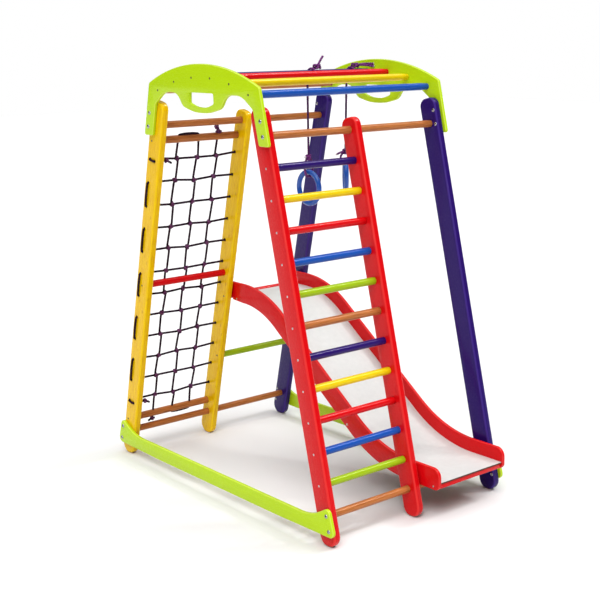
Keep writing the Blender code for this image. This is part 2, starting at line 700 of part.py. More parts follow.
def make_ring_set(name, root, finish, hang):
    """A ring on its rope. The rope turns about the roof bar, and the ring rocks in the rope's lower loop."""
    plan = RINGS[name]
    turn = math.radians(plan["turn"])
    side_way = Vector((math.cos(turn), math.sin(turn), 0))  # square to the ring
    ring_top = plan["ring_z"] + RING_R
    x = NEAR_X + plan["along"]
    swing = empty(f"{name}_rope_axis", (x, *hang), root)
    tilt = empty(f"{name}_ring_axis", (x, hang.x, ring_top), swing)
    top = ring_top - hang.y  # the ring's top and the knot over it, down from the bar
    low_knot = Vector((0, 0, top + plan["knot_up"]))
    wrap_start, wrap = plan["top_along"], plan["knot_along"]
    high_knot = Vector((wrap_start + wrap, 0, ROPE_BAR_LOOP_R + 0.006))

    strand = [low_knot, low_knot.lerp(Vector((wrap_start, ROPE_BAR_LOOP_R, -0.01)), 0.96)]
    steps = round(ROPE_TURNS * 16)
    for k in range(steps + 1):
        angle = 2 * math.pi * ROPE_TURNS * k / steps
        along = wrap_start + (wrap - 0.010) * k / steps
        strand.append((along, ROPE_BAR_LOOP_R * math.cos(angle), ROPE_BAR_LOOP_R * math.sin(angle)))
    rope = bmesh.new()
    add_tube(rope, strand, ROPE_R, sides=8)
    print(f"{name} ring rope: least gap to itself {1000 * least_gap(strand, ROPE_R):.1f} mm")

    half, rise = plan["loop_half"], plan["knot_up"]
    loop_side = [(0.94 * half, 0.25 * rise), (half, 0.45 * rise), (0.62 * half, 0.78 * rise), (0.012, 0.96 * rise)]
    loop = [(-0.3 * ROPE_RING_LOOP_R, -ROPE_RING_LOOP_R), (0.3 * ROPE_RING_LOOP_R, -ROPE_RING_LOOP_R)]
    loop += [(0.8 * ROPE_RING_LOOP_R, -0.72 * ROPE_RING_LOOP_R)] + loop_side
    loop += [(-a, b) for a, b in reversed(loop_side)] + [(-0.8 * ROPE_RING_LOOP_R, -0.72 * ROPE_RING_LOOP_R)]
    eye = bmesh.new()
    add_tube(eye, [side_way * a + Vector((0, 0, top + b)) for a, b in loop], ROPE_R, sides=8, closed=True)

    knots = bmesh.new()
    add_knot(knots, high_knot, (0.020, 0.011, 0.009))
    add_knot(knots, low_knot, (0.0125, 0.0105, 0.011))

    tails = bmesh.new()
    for start, reach in ((high_knot, plan["upper_tail"]), (low_knot, plan["lower_tail"])):
        add_tube(tails, [start, start + Vector(reach)], ROPE_R, sides=8)
    joined(f"{name}_ring_rope", [rope, eye, knots, tails], finish["ring_rope"], swing["place"], swing)

    across = Vector((-side_way.y, side_way.x, 0))
    rim = []
    for k in range(24):
        angle = 2 * math.pi * k / 24
        rim.append(RING_R * (across * math.cos(angle) + Vector((0, 0, math.sin(angle) - 1))))
    bm = bmesh.new()
    add_tube(bm, rim, RING_TUBE_R, sides=10, closed=True)
    piece(f"{name}_ring", bm, finish["ring_blue"], tilt["place"], tilt)


def main():
    clear_scene()
    finish = {
        "red": material("red_lacquer", (0.74, 0.012, 0.016), 0.35),
        "yellow": material("yellow_lacquer", (0.90, 0.56, 0.01), 0.35),
        "purple": material("purple_lacquer", (0.045, 0.018, 0.20), 0.35),
        "blue": material("blue_lacquer", (0.012, 0.11, 0.55), 0.35),
        "green": material("green_lacquer", (0.33, 0.56, 0.02), 0.35),
        "lime": material("lime_lacquer", (0.46, 0.71, 0.012), 0.35),
        "wood": material("varnished_beech", (0.52, 0.20, 0.06), 0.45),
        "sheet": material("white_hardboard", (0.82, 0.82, 0.82), 0.3),
        "net_rope": material("plum_rope", (0.08, 0.02, 0.06), 0.85),
        "ring_rope": material("violet_rope", (0.16, 0.03, 0.15), 0.85),
        "ring_blue": material("blue_plastic", (0.01, 0.13, 0.60), 0.2),
        "steel": material("zinc_steel", (0.62, 0.62, 0.63), 0.3, 1.0),
    }
    root = empty("gym", (0, 0, 0))
    legs = make_legs(root, finish)
    bars, bores = make_bars(root, finish)
    make_net(root, finish, bars, bores)
    plates = make_roof_plates(root, finish)
    braces = make_braces(root, finish)
    make_bolts(root, finish, legs, plates, braces, bores)
    cut_bores(root, legs, bores)
    hook = on_leg(BACK, HOOK_BAR_ALONG, FAR_BAY_ACROSS)
    hinge = empty("slide_axis", (0, *hook), root)
    make_slide(root, finish, hinge, hook)
    roof_bar = Vector(bars["roof_bar_4"]["place"])
    for name in RINGS:
        make_ring_set(name, root, finish, roof_bar.yz)
    root.location.y = Y_SHIFT


main()
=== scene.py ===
# %% [markdown]
# # A toddler's climbing gym in painted wood
#
# The real gym is a leaning A-frame of six thick plywood legs. One bay holds a ladder of coloured rungs
# with a rope net behind it, and the other a slide that hooks over a bar. Curved end plates carry a roof
# of bars, from which two rings hang. Each code cell makes one kind of piece, fits it to the fixed frame
# and prints what it made.

# %% Load the fixed frame
import json
import math

import bmesh
import bpy
from mathutils import Matrix, Vector

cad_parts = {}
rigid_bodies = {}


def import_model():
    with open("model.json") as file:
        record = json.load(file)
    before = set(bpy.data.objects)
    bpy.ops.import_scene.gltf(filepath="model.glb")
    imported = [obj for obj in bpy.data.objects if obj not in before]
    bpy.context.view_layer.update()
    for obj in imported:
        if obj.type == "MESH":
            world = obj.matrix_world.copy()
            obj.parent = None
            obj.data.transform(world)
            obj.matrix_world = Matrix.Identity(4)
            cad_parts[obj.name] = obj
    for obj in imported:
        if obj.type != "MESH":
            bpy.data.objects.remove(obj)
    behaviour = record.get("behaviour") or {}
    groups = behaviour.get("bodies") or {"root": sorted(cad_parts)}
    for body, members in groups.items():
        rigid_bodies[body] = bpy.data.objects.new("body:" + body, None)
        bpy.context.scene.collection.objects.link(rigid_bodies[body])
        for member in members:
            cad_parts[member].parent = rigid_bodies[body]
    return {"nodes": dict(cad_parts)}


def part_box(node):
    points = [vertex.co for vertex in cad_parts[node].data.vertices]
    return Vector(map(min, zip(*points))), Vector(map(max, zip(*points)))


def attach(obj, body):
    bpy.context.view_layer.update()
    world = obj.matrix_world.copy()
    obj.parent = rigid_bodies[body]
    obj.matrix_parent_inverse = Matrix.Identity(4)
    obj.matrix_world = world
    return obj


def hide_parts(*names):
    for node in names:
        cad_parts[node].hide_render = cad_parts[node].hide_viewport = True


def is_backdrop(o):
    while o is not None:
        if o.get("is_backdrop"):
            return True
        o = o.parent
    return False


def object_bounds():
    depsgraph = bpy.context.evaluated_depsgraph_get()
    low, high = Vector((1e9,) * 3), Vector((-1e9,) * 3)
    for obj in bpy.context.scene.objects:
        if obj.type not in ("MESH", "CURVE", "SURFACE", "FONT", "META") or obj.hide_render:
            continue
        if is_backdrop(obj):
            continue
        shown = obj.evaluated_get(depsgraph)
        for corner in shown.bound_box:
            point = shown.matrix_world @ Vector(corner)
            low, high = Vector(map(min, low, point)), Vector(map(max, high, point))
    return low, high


for startup_object in list(bpy.data.objects):
    bpy.data.objects.remove(startup_object)

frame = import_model()
cad_box = [list(corner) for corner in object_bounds()]


# %% [markdown]
# ## Places on the legs
#
# Everything on an A-frame is set out along its leaning legs: a rung is so far up a leg's centre line and
# so far across it. A function that turns those two distances into a place keeps every other cell short.
# The legs' own boxes give the frame's ends and its middle, so nothing has to be fitted by eye.

# %% Measure the legs
LEG_SLOPE = math.radians(13.5)
LEG_WIDE = 0.076
FOOT_Y = 0.619  # a leg's centre line at the floor, from the frame's middle
FRONT, BACK = -1, 1

near_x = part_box("front_leg_near")[0].x
inner_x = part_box("front_leg_inner")[0].x
far_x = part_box("front_leg_far")[1].x
leg_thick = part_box("front_leg_near")[1].x - near_x
middle_y = (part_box("front_leg_near")[0].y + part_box("back_leg_near")[1].y) / 2
legs_x = {"near": near_x, "inner": inner_x, "far": far_x - leg_thick}


def on_leg(side, along, across=0.0):
    """(y, z) of a point of a leg, along its centre line from the floor and outwards across it."""
    sin, cos = math.sin(LEG_SLOPE), math.cos(LEG_SLOPE)
    reach = FOOT_Y - sin * along + cos * across
    return middle_y + side * reach, cos * along + sin * across


def centre_of(node):
    """The middle of a CAD node's box."""
    low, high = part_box(node)
    return (low + high) / 2


print(f"frame {far_x - near_x:.3f} m long, legs {leg_thick * 1000:.0f} mm thick, middle at y {middle_y:.4f}")


# %% [markdown]
# ## The camera
#
# A long lens from chest height, some way off: the legs converge only a little. The lens axis points a
# little away from the picture's middle, as in a cropped photograph. Turning the camera would change how
# the legs converge, so a small shift of the lens puts the gym back in its place.

# %% Place the camera
CAMERA_PLACE = Vector((-2.7153, -3.3643, 1.6131))
CAMERA_AROUND, CAMERA_DOWN, CAMERA_ROLL = (math.radians(angle) for angle in (-40.984, 13.043, -0.507))
LENS_MM, SENSOR_MM = 72.48, 36
LENS_SHIFT = (-0.0784, 0.0218)
GYM_MIDDLE = Vector((0, 0, 0.7))


def add_object(name, data):
    """A new object, linked into the scene."""
    obj = bpy.data.objects.new(name, data)
    bpy.context.scene.collection.objects.link(obj)
    return obj


camera_data = bpy.data.cameras.new("camera")
camera_data.sensor_width = SENSOR_MM
camera_data.lens = LENS_MM
camera_data.shift_x, camera_data.shift_y = LENS_SHIFT
camera = add_object("camera", camera_data)
turned = Matrix.Rotation(CAMERA_AROUND, 4, "Z") @ Matrix.Rotation(math.radians(90) - CAMERA_DOWN, 4, "X")
camera.matrix_world = Matrix.Translation(CAMERA_PLACE) @ turned @ Matrix.Rotation(CAMERA_ROLL, 4, "Z")
bpy.context.scene.camera = camera
print(f"camera {(CAMERA_PLACE - GYM_MIDDLE).length:.2f} m from the gym")


# %% [markdown]
# ## One function for a node
#
# A material or a geometry tree is a list of nodes with numbers on their sockets and links between them.
# One function adds any node: keyword settings go on the node, and each socket takes a value or another
# node. Colours are written as the hex values that a paint chart gives, and one function makes them
# linear.

# %% Helpers for nodes and colours


def linear(hex_code, share=1.0):
    """A paint chart's sRGB hex value as linear RGBA, or a darker share of it."""
    channels = [int(hex_code[i : i + 2], 16) / 255 for i in (1, 3, 5)]
    straight = [c / 12.92 if c <= 0.04045 else ((c + 0.055) / 1.055) ** 2.4 for c in channels]
    return (*(c * share for c in straight), 1.0)


def feed(node, sockets):
    """Gives a node's inputs, in order or by name, their values or links. A node gives its first output."""
    pairs = sockets.items() if isinstance(sockets, dict) else enumerate(sockets)
    for name, value in pairs:
        source = value.outputs[0] if isinstance(value, bpy.types.Node) else value
        if isinstance(source, bpy.types.NodeSocket):
            node.id_data.links.new(source, node.inputs[name])
        else:
            node.inputs[name].default_value = source


def add_node(tree, kind, sockets=(), **settings):
    """Adds a node with its settings, its values and its links."""
    made = tree.nodes.new(kind)
    for name, value in settings.items():
        setattr(made, name, value)
    feed(made, sockets)
    return made


def new_material(name):
    """A new material, with its tree and its shader."""
    made = bpy.data.materials.new(name)
    made.use_nodes = True
    return made, made.node_tree, made.node_tree.nodes["Principled BSDF"]


print("lime is", [round(c, 3) for c in linear("#B5DC1E")])


# %% [markdown]
# ## Room and light
#
# A product photograph on white: the floor is a pale sweep, and the light lifts it to white. A large
# softbox stands to the left of the camera and a smaller one to the right. A narrow strip stands further
# round, where its reflection runs as a crisp line along every bar, and a weak low lamp by the camera
# reaches under the roof. An area lamp would fall off over the gym's length, so sun lamps with wide angles
# stand in for softboxes.

# %% Floor and lamps
FLOOR_SIZE, FLOOR_GREY, FLOOR_ROUGH = 40, "#E4E4E4", 0.9
SOFTBOXES = {  # degrees round from the front, up and across; strength
    "left": (-52, 50, 30, 1.40),
    "right": (50, 58, 22, 0.50),
    "strip": (68, 50, 6, 0.64),
    "low": (-41, 14, 5, 0.26),
}

half_floor = FLOOR_SIZE / 2
floor_mesh = bpy.data.meshes.new("floor")
floor_corners = [(x * half_floor, y * half_floor, 0) for x, y in ((-1, -1), (1, -1), (1, 1), (-1, 1))]
floor_mesh.from_pydata(floor_corners, [], [(0, 1, 2, 3)])
floor = add_object("floor", floor_mesh)
floor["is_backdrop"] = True
floor_paint, _, floor_shader = new_material("matt white studio floor")
feed(floor_shader, {"Base Color": linear(FLOOR_GREY), "Roughness": FLOOR_ROUGH})
floor_mesh.materials.append(floor_paint)

for side_name, (around, up, across, strength) in SOFTBOXES.items():
    lamp_data = bpy.data.lights.new(f"softbox {side_name}", "SUN")
    lamp_data.energy = strength
    lamp_data.angle = math.radians(across)
    lamp = add_object(f"softbox {side_name}", lamp_data)
    lamp.rotation_euler = (math.radians(90 - up), 0, math.radians(around))
print("softboxes:", ", ".join(SOFTBOXES))


# %% [markdown]
# ## The room's own light
#
# A studio's white ceiling gives tops a wide soft light, while its walls are further off and give much
# less, so undersides fall off. The world's colour follows the height of each direction, raised to a power
# that keeps the brightness overhead. The camera sees the world as plain white, as in a photograph on a
# white sweep.

# %% The world
WALL, CEILING = 0.06, 2.2
OVERHEAD = 3.0  # the power: a higher one draws the bright part of the ceiling together
WHITE = linear("#FFFFFF")

world = bpy.data.worlds.new("white room")
bpy.context.scene.world = world
world.use_nodes = True
air = world.node_tree
air.nodes.clear()
direction = add_node(air, "ShaderNodeTexCoord").outputs["Generated"]
upward = add_node(air, "ShaderNodeSeparateXYZ", [direction]).outputs["Z"]
overhead = add_node(air, "ShaderNodeMath", [upward, OVERHEAD], operation="POWER")
glow = add_node(air, "ShaderNodeMapRange", [overhead, 0.0, 1.0, WALL, CEILING])
fill = add_node(air, "ShaderNodeBackground", {"Color": WHITE, "Strength": glow})
plain = add_node(air, "ShaderNodeBackground", {"Color": WHITE, "Strength": 1.0})
is_camera = add_node(air, "ShaderNodeLightPath").outputs["Is Camera Ray"]
seen = add_node(air, "ShaderNodeMixShader", [is_camera, fill, plain])
add_node(air, "ShaderNodeOutputWorld", {"Surface": seen})
bpy.context.scene.view_settings.view_transform = "Standard"
print("walls", WALL, "ceiling", CEILING)


# %% [markdown]
# ## From a mesh to a piece of the gym
#
# Paint on wood is never one flat colour, because the grain runs along each board under it. A pattern in
# world space would run the same way through a leaning leg and a level rung. So each finished mesh stores
# a point's distance along its own grain, across it and through it, and the materials read that attribute.
# A second attribute marks the rounded edges, where a coat is thinnest and a paler colour paints in the
# highlight that runs along them.

# %% Finish a mesh as a piece
GRAIN, EDGE = "grain", "edge"
NOT_ON_FACE = 1e-5
LEVEL_GRAIN = ((1, 0, 0), (0, 1, 0))
NEXT_WOOD = (1.37, 0.61, 0.29)  # metres from one piece's place in the wood to the next's, so that none match
SMOOTH_ANGLE, ROPE_ANGLE, SHEET_ANGLE = 35, 60, 30  # degrees at which an edge stays sharp
finishes, slots = {}, {}
made_pieces = []


def store_grain(mesh, along, across, number):
    """Each point's metres along, across and through its board, moved on for each board."""
    along, across = Vector(along).normalized(), Vector(across).normalized()
    through = along.cross(across)
    shift = Vector([number * step for step in NEXT_WOOD])
    values = []
    for vertex in mesh.vertices:
        co = vertex.co
        values += [co.dot(along) + shift.x, co.dot(across) + shift.y, co.dot(through) + shift.z]
    mesh.attributes.new(GRAIN, "FLOAT_VECTOR", "POINT").data.foreach_set("vector", values)


def store_edges(mesh, x_start, x_end, width):
    """Marks the points on the rounded edges of a board that lies between two X."""
    values = []
    for vertex in mesh.vertices:
        depth = min(vertex.co.x - x_start, x_end - vertex.co.x)
        values.append(1.0 if NOT_ON_FACE < depth < width - NOT_ON_FACE else 0.0)
    mesh.attributes.new(EDGE, "FLOAT", "POINT").data.foreach_set("value", values)


def piece(mesh, finish, body, stands_for=(), grain=LEVEL_GRAIN, sharp=SMOOTH_ANGLE, name=None):
    """Makes a mesh a piece that rides on a body, in place of the CAD nodes it stands for."""
    mesh.materials.clear()
    mesh.materials.append(finishes[finish])
    store_grain(mesh, *grain, len(made_pieces))
    mesh.shade_smooth()
    mesh.set_sharp_from_angle(angle=math.radians(sharp))
    obj = add_object(name or mesh.name, mesh)
    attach(obj, body)
    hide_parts(*stands_for)
    made_pieces.append(obj)
    return obj


print("pieces store their grain in", repr(GRAIN))


# %% [markdown]
# ## Lacquer on wood
#
# The legs, rungs and plates are plywood and pine under a sprayed polyurethane lacquer. It is a smooth,
# half-shiny coat: the colour is strong and even, with faint streaks where the grain drinks more of it,
# and long shallow ripples that break up a highlight. Stretched noise gives the streaks, about 2 mm wide
# and 60 mm long. On the rounded edges the coat is thinner, and a paler colour there is a painted
# highlight along each edge; the feet are a little scuffed. A picture of wood would need a layout for
# every piece, and noise along the stored grain needs none.

# %% What lacquered wood is made of
STREAK_WIDE, STREAK_LONG, STREAK_DETAIL = 0.0022, 0.060, 3.0
STREAK_STARTS, STREAK_FULL = 0.45, 0.75  # in the noise, whose middle is 0.5
PORE_WIDE, PORE_LONG, PORE_DETAIL = 0.0007, 0.012, 2.0  # drawn coarser than real pores, so that they show
KNOT_SCALE = (1 / 0.075, 1 / 0.034, 1 / 0.034)  # one small knot in each cell of 75 by 34 mm
KNOT_HEART, KNOT_RIM = 0.06, 0.14  # of a cell
SCUFF_HIGH = 0.012  # the feet are scuffed this far up
SCUFF_SPOTS, SCUFF_DETAIL = 220.0, 3.0  # spots in a metre, so each is about 4.5 mm
SCUFF_FULL, SCUFF_GONE, SCUFF_SHARE = -0.003, 0.001, 0.7  # metres about the scuff's ragged top; its strength


def layered(tree, colour, layers):
    """Thin layers of colour over a first one. Each layer is (how much of it covers, its colour)."""
    for cover, over in layers:
        colour = add_node(tree, "ShaderNodeMix", {0: cover, 6: colour, 7: over}, data_type="RGBA").outputs[2]
    return colour


def grain_noise(tree, wide, long, detail):
    """Noise stretched along the board's own grain."""
    grain = add_node(tree, "ShaderNodeAttribute", attribute_name=GRAIN).outputs["Vector"]
    scale = (1 / long, 1 / wide, 1 / wide)
    stretched = add_node(tree, "ShaderNodeMapping", {"Vector": grain, "Scale": scale})
    return add_node(tree, "ShaderNodeTexNoise", {"Vector": stretched, "Scale": 1.0, "Detail": detail})


def knot_marks(tree, strength):
    """Small knots in the wood: a few ovals, drawn out along the grain, on a board."""
    grain = add_node(tree, "ShaderNodeAttribute", attribute_name=GRAIN).outputs["Vector"]
    squashed = add_node(tree, "ShaderNodeMapping", {"Vector": grain, "Scale": KNOT_SCALE})
    cells = add_node(tree, "ShaderNodeTexVoronoi", {"Vector": squashed, "Scale": 1.0})
    from_heart = cells.outputs["Distance"]
    return add_node(tree, "ShaderNodeMapRange", [from_heart, KNOT_HEART, KNOT_RIM, strength, 0.0])


def foot_scuff(tree):
    """How scuffed a point is: rubbed near the floor, up to a ragged edge."""
    place = add_node(tree, "ShaderNodeTexCoord").outputs["Object"]
    height = add_node(tree, "ShaderNodeSeparateXYZ", [place]).outputs["Z"]
    spots = {"Vector": place, "Scale": SCUFF_SPOTS, "Detail": SCUFF_DETAIL}
    rub = add_node(tree, "ShaderNodeTexNoise", spots)
    ragged = add_node(tree, "ShaderNodeMath", [rub, SCUFF_HIGH], operation="MULTIPLY")
    above = add_node(tree, "ShaderNodeMath", [height, ragged], operation="SUBTRACT")
    return add_node(tree, "ShaderNodeMapRange", [above, SCUFF_FULL, SCUFF_GONE, SCUFF_SHARE, 0.0])


print(f"streaks {STREAK_WIDE * 1000:.1f} mm wide, scuffs up to {SCUFF_HIGH * 1000:.0f} mm")


# %% [markdown]
# ## The lacquers
#
# Polyurethane has an IOR of about 1.5, and a sprayed coat a roughness of 0.2 to 0.4. Here a soft sheen
# takes some of the paint's colour, as it does in the photograph, and a thin clear coat over it gives each
# bar its crisp line of light. The yellow legs are stained instead, so their grain and knots show through,
# and the plain bars are varnished beech. One function makes all eight, because only colours and strengths
# differ.

# %% Lacquered wood
LACQUER_SHINE, SHINE_TINT = 0.30, 0.90  # under the usual 0.5, as the coat shines too; the paint's share in it
COAT, COAT_ROUGH = 0.15, 0.12
RIPPLE, RIPPLE_HIGH = 0.12, 0.0004
LEAST_ROUGH, MOST_ROUGH = 0.85, 1.2  # shares of the roughness, from the pores


def lacquer(name, colour, deep, pale, streak=0.25, roughness=0.26, edge_highlight_and_thin_coat=0.35, foot="#6B5138", knots=0.0):
    """A coat: deep in the streaks, pale on rounded edges as a painted highlight over a thinner coat, and foot
    where it's scuffed or has a knot.
    """
    made, tree, shader = new_material(name)
    streaks = grain_noise(tree, STREAK_WIDE, STREAK_LONG, STREAK_DETAIL)
    pores = grain_noise(tree, PORE_WIDE, PORE_LONG, PORE_DETAIL)
    drunk_in = add_node(tree, "ShaderNodeMapRange", [streaks, STREAK_STARTS, STREAK_FULL, 0.0, streak])
    on_edge = add_node(tree, "ShaderNodeAttribute", attribute_name=EDGE).outputs["Fac"]
    # painted highlight: the pale colour goes on the rounded edges, where the coat is also thinner
    edge_highlight_share = add_node(tree, "ShaderNodeMath", [on_edge, edge_highlight_and_thin_coat], operation="MULTIPLY")
    layers = [(drunk_in, linear(deep))]
    if knots:
        layers.append((knot_marks(tree, knots), linear(foot)))
    layers += [(edge_highlight_share, linear(pale)), (foot_scuff(tree), linear(foot))]
    relief = add_node(tree, "ShaderNodeMath", [streaks, pores], operation="ADD")
    ripple = add_node(tree, "ShaderNodeBump", {"Height": relief, "Strength": RIPPLE, "Distance": RIPPLE_HIGH})
    rough = [pores, 0.0, 1.0, roughness * LEAST_ROUGH, roughness * MOST_ROUGH]
    tint = [SHINE_TINT * c + 1 - SHINE_TINT for c in linear(pale)[:3]]
    shine = {"Specular IOR Level": LACQUER_SHINE, "Specular Tint": (*tint, 1.0)}
    shine |= {"Coat Weight": COAT, "Coat Roughness": COAT_ROUGH}
    shine |= {"Roughness": add_node(tree, "ShaderNodeMapRange", rough), "Normal": ripple}
    feed(shader, {"Base Color": layered(tree, linear(colour), layers)} | shine)
    return made


print(f"coat {COAT} over a sheen of {LACQUER_SHINE}")

# %% The eight lacquers
STAIN = {"streak": 0.9, "foot": "#A85E0C", "knots": 0.45}  # the grain and the knots show through
VARNISH = {"streak": 0.9, "roughness": 0.30}  # thinner than lacquer, so a little duller
PLYWOOD_EDGES = {"edge_highlight_and_thin_coat": 0.42}  # sawn plywood edges drink the coat, and the highlight painted on them is paler still
PAINTS = {  # finish: slot, name, its colour, in the streaks, on the edges as a painted highlight, what else differs
    "red": ("red_lacquer", "sprayed red lacquer", "#D40810", "#A80A12", "#F4504A", {}),
    "purple": ("purple_lacquer", "sprayed purple lacquer", "#281062", "#1C094A", "#55409C", {}),
    "blue": ("blue_lacquer", "sprayed blue lacquer", "#184EA8", "#123E8C", "#3F80DC", {}),
    "green": ("green_lacquer", "sprayed grass green lacquer", "#9CBA14", "#7C9A10", "#C4E050", {}),
    "lime": ("lime_lacquer", "sprayed lime lacquer on plywood", "#BADC12", "#A6C80E", "#E0EC70", PLYWOOD_EDGES),
    "yellow": ("yellow_lacquer", "yellow wood stain under lacquer", "#F0C400", "#D08C00", "#F7D81C", STAIN),
    "sun_yellow": ("yellow_lacquer", "sprayed yellow lacquer", "#E6C60C", "#D2AA00", "#FFEE50", {}),
    "wood": ("varnished_beech", "clear varnish on beech", "#B8703A", "#803F1A", "#D89C64", VARNISH),
}
for finish, (slot, name, *colours, others) in PAINTS.items():
    finishes[finish] = lacquer(name, *colours, **others)
    slots[finish] = slot
print("lacquers:", ", ".join(finishes))


# %% [markdown]
# ## White facing, plastic and steel
#
# The slide's bed is hardboard with a smooth white facing, which shows only a broad soft sheen. The rings
# are moulded plastic, shinier than any lacquer. The bolts and screws are zinc plate, a metal whose fine
# scratches spread its reflections, and some have dulled. All of these are one colour with a shine that
# drifts a little in soft clouds, so one function makes them.

# %% Plain finishes
CLOUD_DETAIL = 4.0
DARKER = 0.86  # the colour between the clouds, as a share


def plain_finish(name, colour, roughness, metallic=0.0, coat=0.0, cloudy=0.06, grain_size=0.004):
    """A surface of one colour whose shine varies a little in soft clouds."""
    made, tree, shader = new_material(name)
    place = add_node(tree, "ShaderNodeTexCoord").outputs["Object"]
    cloud_sockets = {"Vector": place, "Scale": 1 / grain_size, "Detail": CLOUD_DETAIL}
    clouds = add_node(tree, "ShaderNodeTexNoise", cloud_sockets)
    drift = add_node(tree, "ShaderNodeMapRange", [clouds, 0.0, 1.0, roughness - cloudy, roughness + cloudy])
    mixed = layered(tree, linear(colour, DARKER), [(clouds, linear(colour))])
    feed(shader, {"Base Color": mixed, "Roughness": drift, "Metallic": metallic, "Coat Weight": coat})
    return made


SHEEN, FIBRES = {"cloudy": 0.05, "grain_size": 0.02}, {"cloudy": 0.1, "grain_size": 0.002}
METAL = {"metallic": 1.0}
PLAIN = {  # finish: slot, then the name, colour, roughness and what else differs
    # melamine facing: smooth but not glossy, so a broad soft sheen
    "facing": ("white_hardboard", "white facing on hardboard", "#D6D8D6", 0.35, SHEEN),
    # pressed fibre: matt and mottled
    "hardboard": ("white_hardboard", "raw brown hardboard", "#4A2A18", 0.7, FIBRES),
    # ABS from a polished mould, IOR 1.5: the sharpest highlights but for the bolts
    "plastic": ("blue_plastic", "blue moulded plastic", "#1450AE", 0.16, {"coat": 0.25, "cloudy": 0.03}),
    # zinc plate is a metal, and its scratches give a roughness of 0.2 to 0.4
    "steel": ("zinc_steel", "bright zinc plate", "#D6D6D8", 0.28, METAL),
    # The bolt heads' zinc is darker than the screws': painted shade, standing in for the darker reflections
    # they show.
    "bolt_steel": ("zinc_steel", "polished zinc plate", "#B4B4BA", 0.18, METAL),
    "dull_steel": ("zinc_steel", "yellow zinc plate, dulled", "#5E5646", 0.45, METAL),
    # polypropylene that ran and set under a flame: pale and half matt
    "cut_end": ("violet_rope", "melted end of the rope", "#D8CCD6", 0.6, {}),
}
for finish, (slot, name, colour, roughness, others) in PLAIN.items():
    finishes[finish] = plain_finish(name, colour, roughness, **others)
    slots[finish] = slot
print("plain finishes:", ", ".join(PLAIN))


# %% [markdown]
# ## Polypropylene rope
#
# The ropes are many fine twisted threads, some darker than others, and rough enough to hide any
# highlight. Modelling threads would cost millions of faces. Cells of a Voronoi pattern, each with its own
# random colour and a dark rim of painted shade between the threads, look the same from where a person stands.

# %% Rope finishes
THREAD = 0.0012  # a real thread is finer, and is drawn coarser so that it shows
FLECK_BLUR = 0.05
RIM_AT, RIM_SHADE, RIM_SHARE = 0.8, 0.3, 0.6  # where in its cell a thread's rim of painted shade is, how dark, how covering
THREAD_BUMP, THREAD_HIGH = 0.5, 0.0005
ROPE_ROUGH, ROPE_SHINE = 0.8, 0.2  # fibres scatter light, so rope is rougher than solid polypropylene


def rope_finish(name, colour, fleck, fleck_share):
    """Fine threads of one colour, with a share of them in another."""
    made, tree, shader = new_material(name)
    place = add_node(tree, "ShaderNodeTexCoord").outputs["Object"]
    threads = add_node(tree, "ShaderNodeTexVoronoi", {"Vector": place, "Scale": 1 / (2 * THREAD)})
    rim = threads.outputs["Distance"]
    which = add_node(tree, "ShaderNodeSeparateColor", [threads.outputs["Color"]])
    fleck_ends = (1 - fleck_share - FLECK_BLUR, 1 - fleck_share + FLECK_BLUR)
    flecked = add_node(tree, "ShaderNodeMapRange", [which, *fleck_ends, 0.0, 1.0])
    shadow = add_node(tree, "ShaderNodeMapRange", [rim, 0.0, RIM_AT, 0.0, RIM_SHARE])
    layers = [(flecked, linear(fleck)), (shadow, linear(colour, RIM_SHADE))]
    relief = {"Height": rim, "Strength": THREAD_BUMP, "Distance": THREAD_HIGH}
    bump = add_node(tree, "ShaderNodeBump", relief, invert=True)
    shine = {"Normal": bump, "Roughness": ROPE_ROUGH, "Specular IOR Level": ROPE_SHINE}
    feed(shader, {"Base Color": layered(tree, linear(colour), layers)} | shine)
    return made


ROPES = {  # finish: slot, name, colour, its other threads and their share
    "net_rope": ("plum_rope", "dark plum polypropylene rope", "#220A1D", "#502448", 0.22),
    # The knots' rope is the net's rope made lighter: a painted highlight on their lumps.
    "net_knot": ("plum_rope", "plum polypropylene, drawn into a knot", "#582450", "#94588C", 0.40),
    # The two violet ropes are one rope in two tones: the lighter one, on the knots, turns and tails, has
    # their highlight painted in; the darker one, on the hanging strand, is painted shade.
    "ring_rope": ("violet_rope", "violet polypropylene rope", "#8E3E96", "#2B1230", 0.38),
    "shaded_ring_strand": ("violet_rope", "violet polypropylene rope, drawn tight", "#5C2468", "#1C0A22", 0.42),
}
for finish, (slot, *description) in ROPES.items():
    finishes[finish] = rope_finish(*description)
    slots[finish] = slot
print("ropes:", ", ".join(ROPES))


# %% [markdown]
# ## Rope by geometry nodes
#
# A laid rope is strands twisted round each other, so its outline is lobed and turns as it runs. Modelling
# every strand would cost three tubes. Instead one tube has a three-lobed section, and the curve's tilt
# turns that section once for each lay length, which looks the same from any side. The tree works as a
# modifier on the rope's route, and its result is read back as a plain mesh.

# %% Helpers for geometry trees


def new_tree(name, inputs):
    """An empty geometry tree with named inputs. It returns the tree and the node that gives the inputs."""
    tree = bpy.data.node_groups.new(name, "GeometryNodeTree")
    tree.interface.new_socket("Geometry", in_out="OUTPUT", socket_type="NodeSocketGeometry")
    for label, kind, value in inputs:
        socket = tree.interface.new_socket(label, in_out="INPUT", socket_type=f"NodeSocket{kind}")
        if value is not None:
            socket.default_value = value
    return tree, tree.nodes.new("NodeGroupInput").outputs


def end_tree(tree, geometry, finish):
    """Every tree ends alike: instances become real and the material goes on."""
    real = add_node(tree, "GeometryNodeRealizeInstances", [geometry])
    dressed = add_node(tree, "GeometryNodeSetMaterial", {"Geometry": real, "Material": finish})
    add_node(tree, "NodeGroupOutput", [dressed])


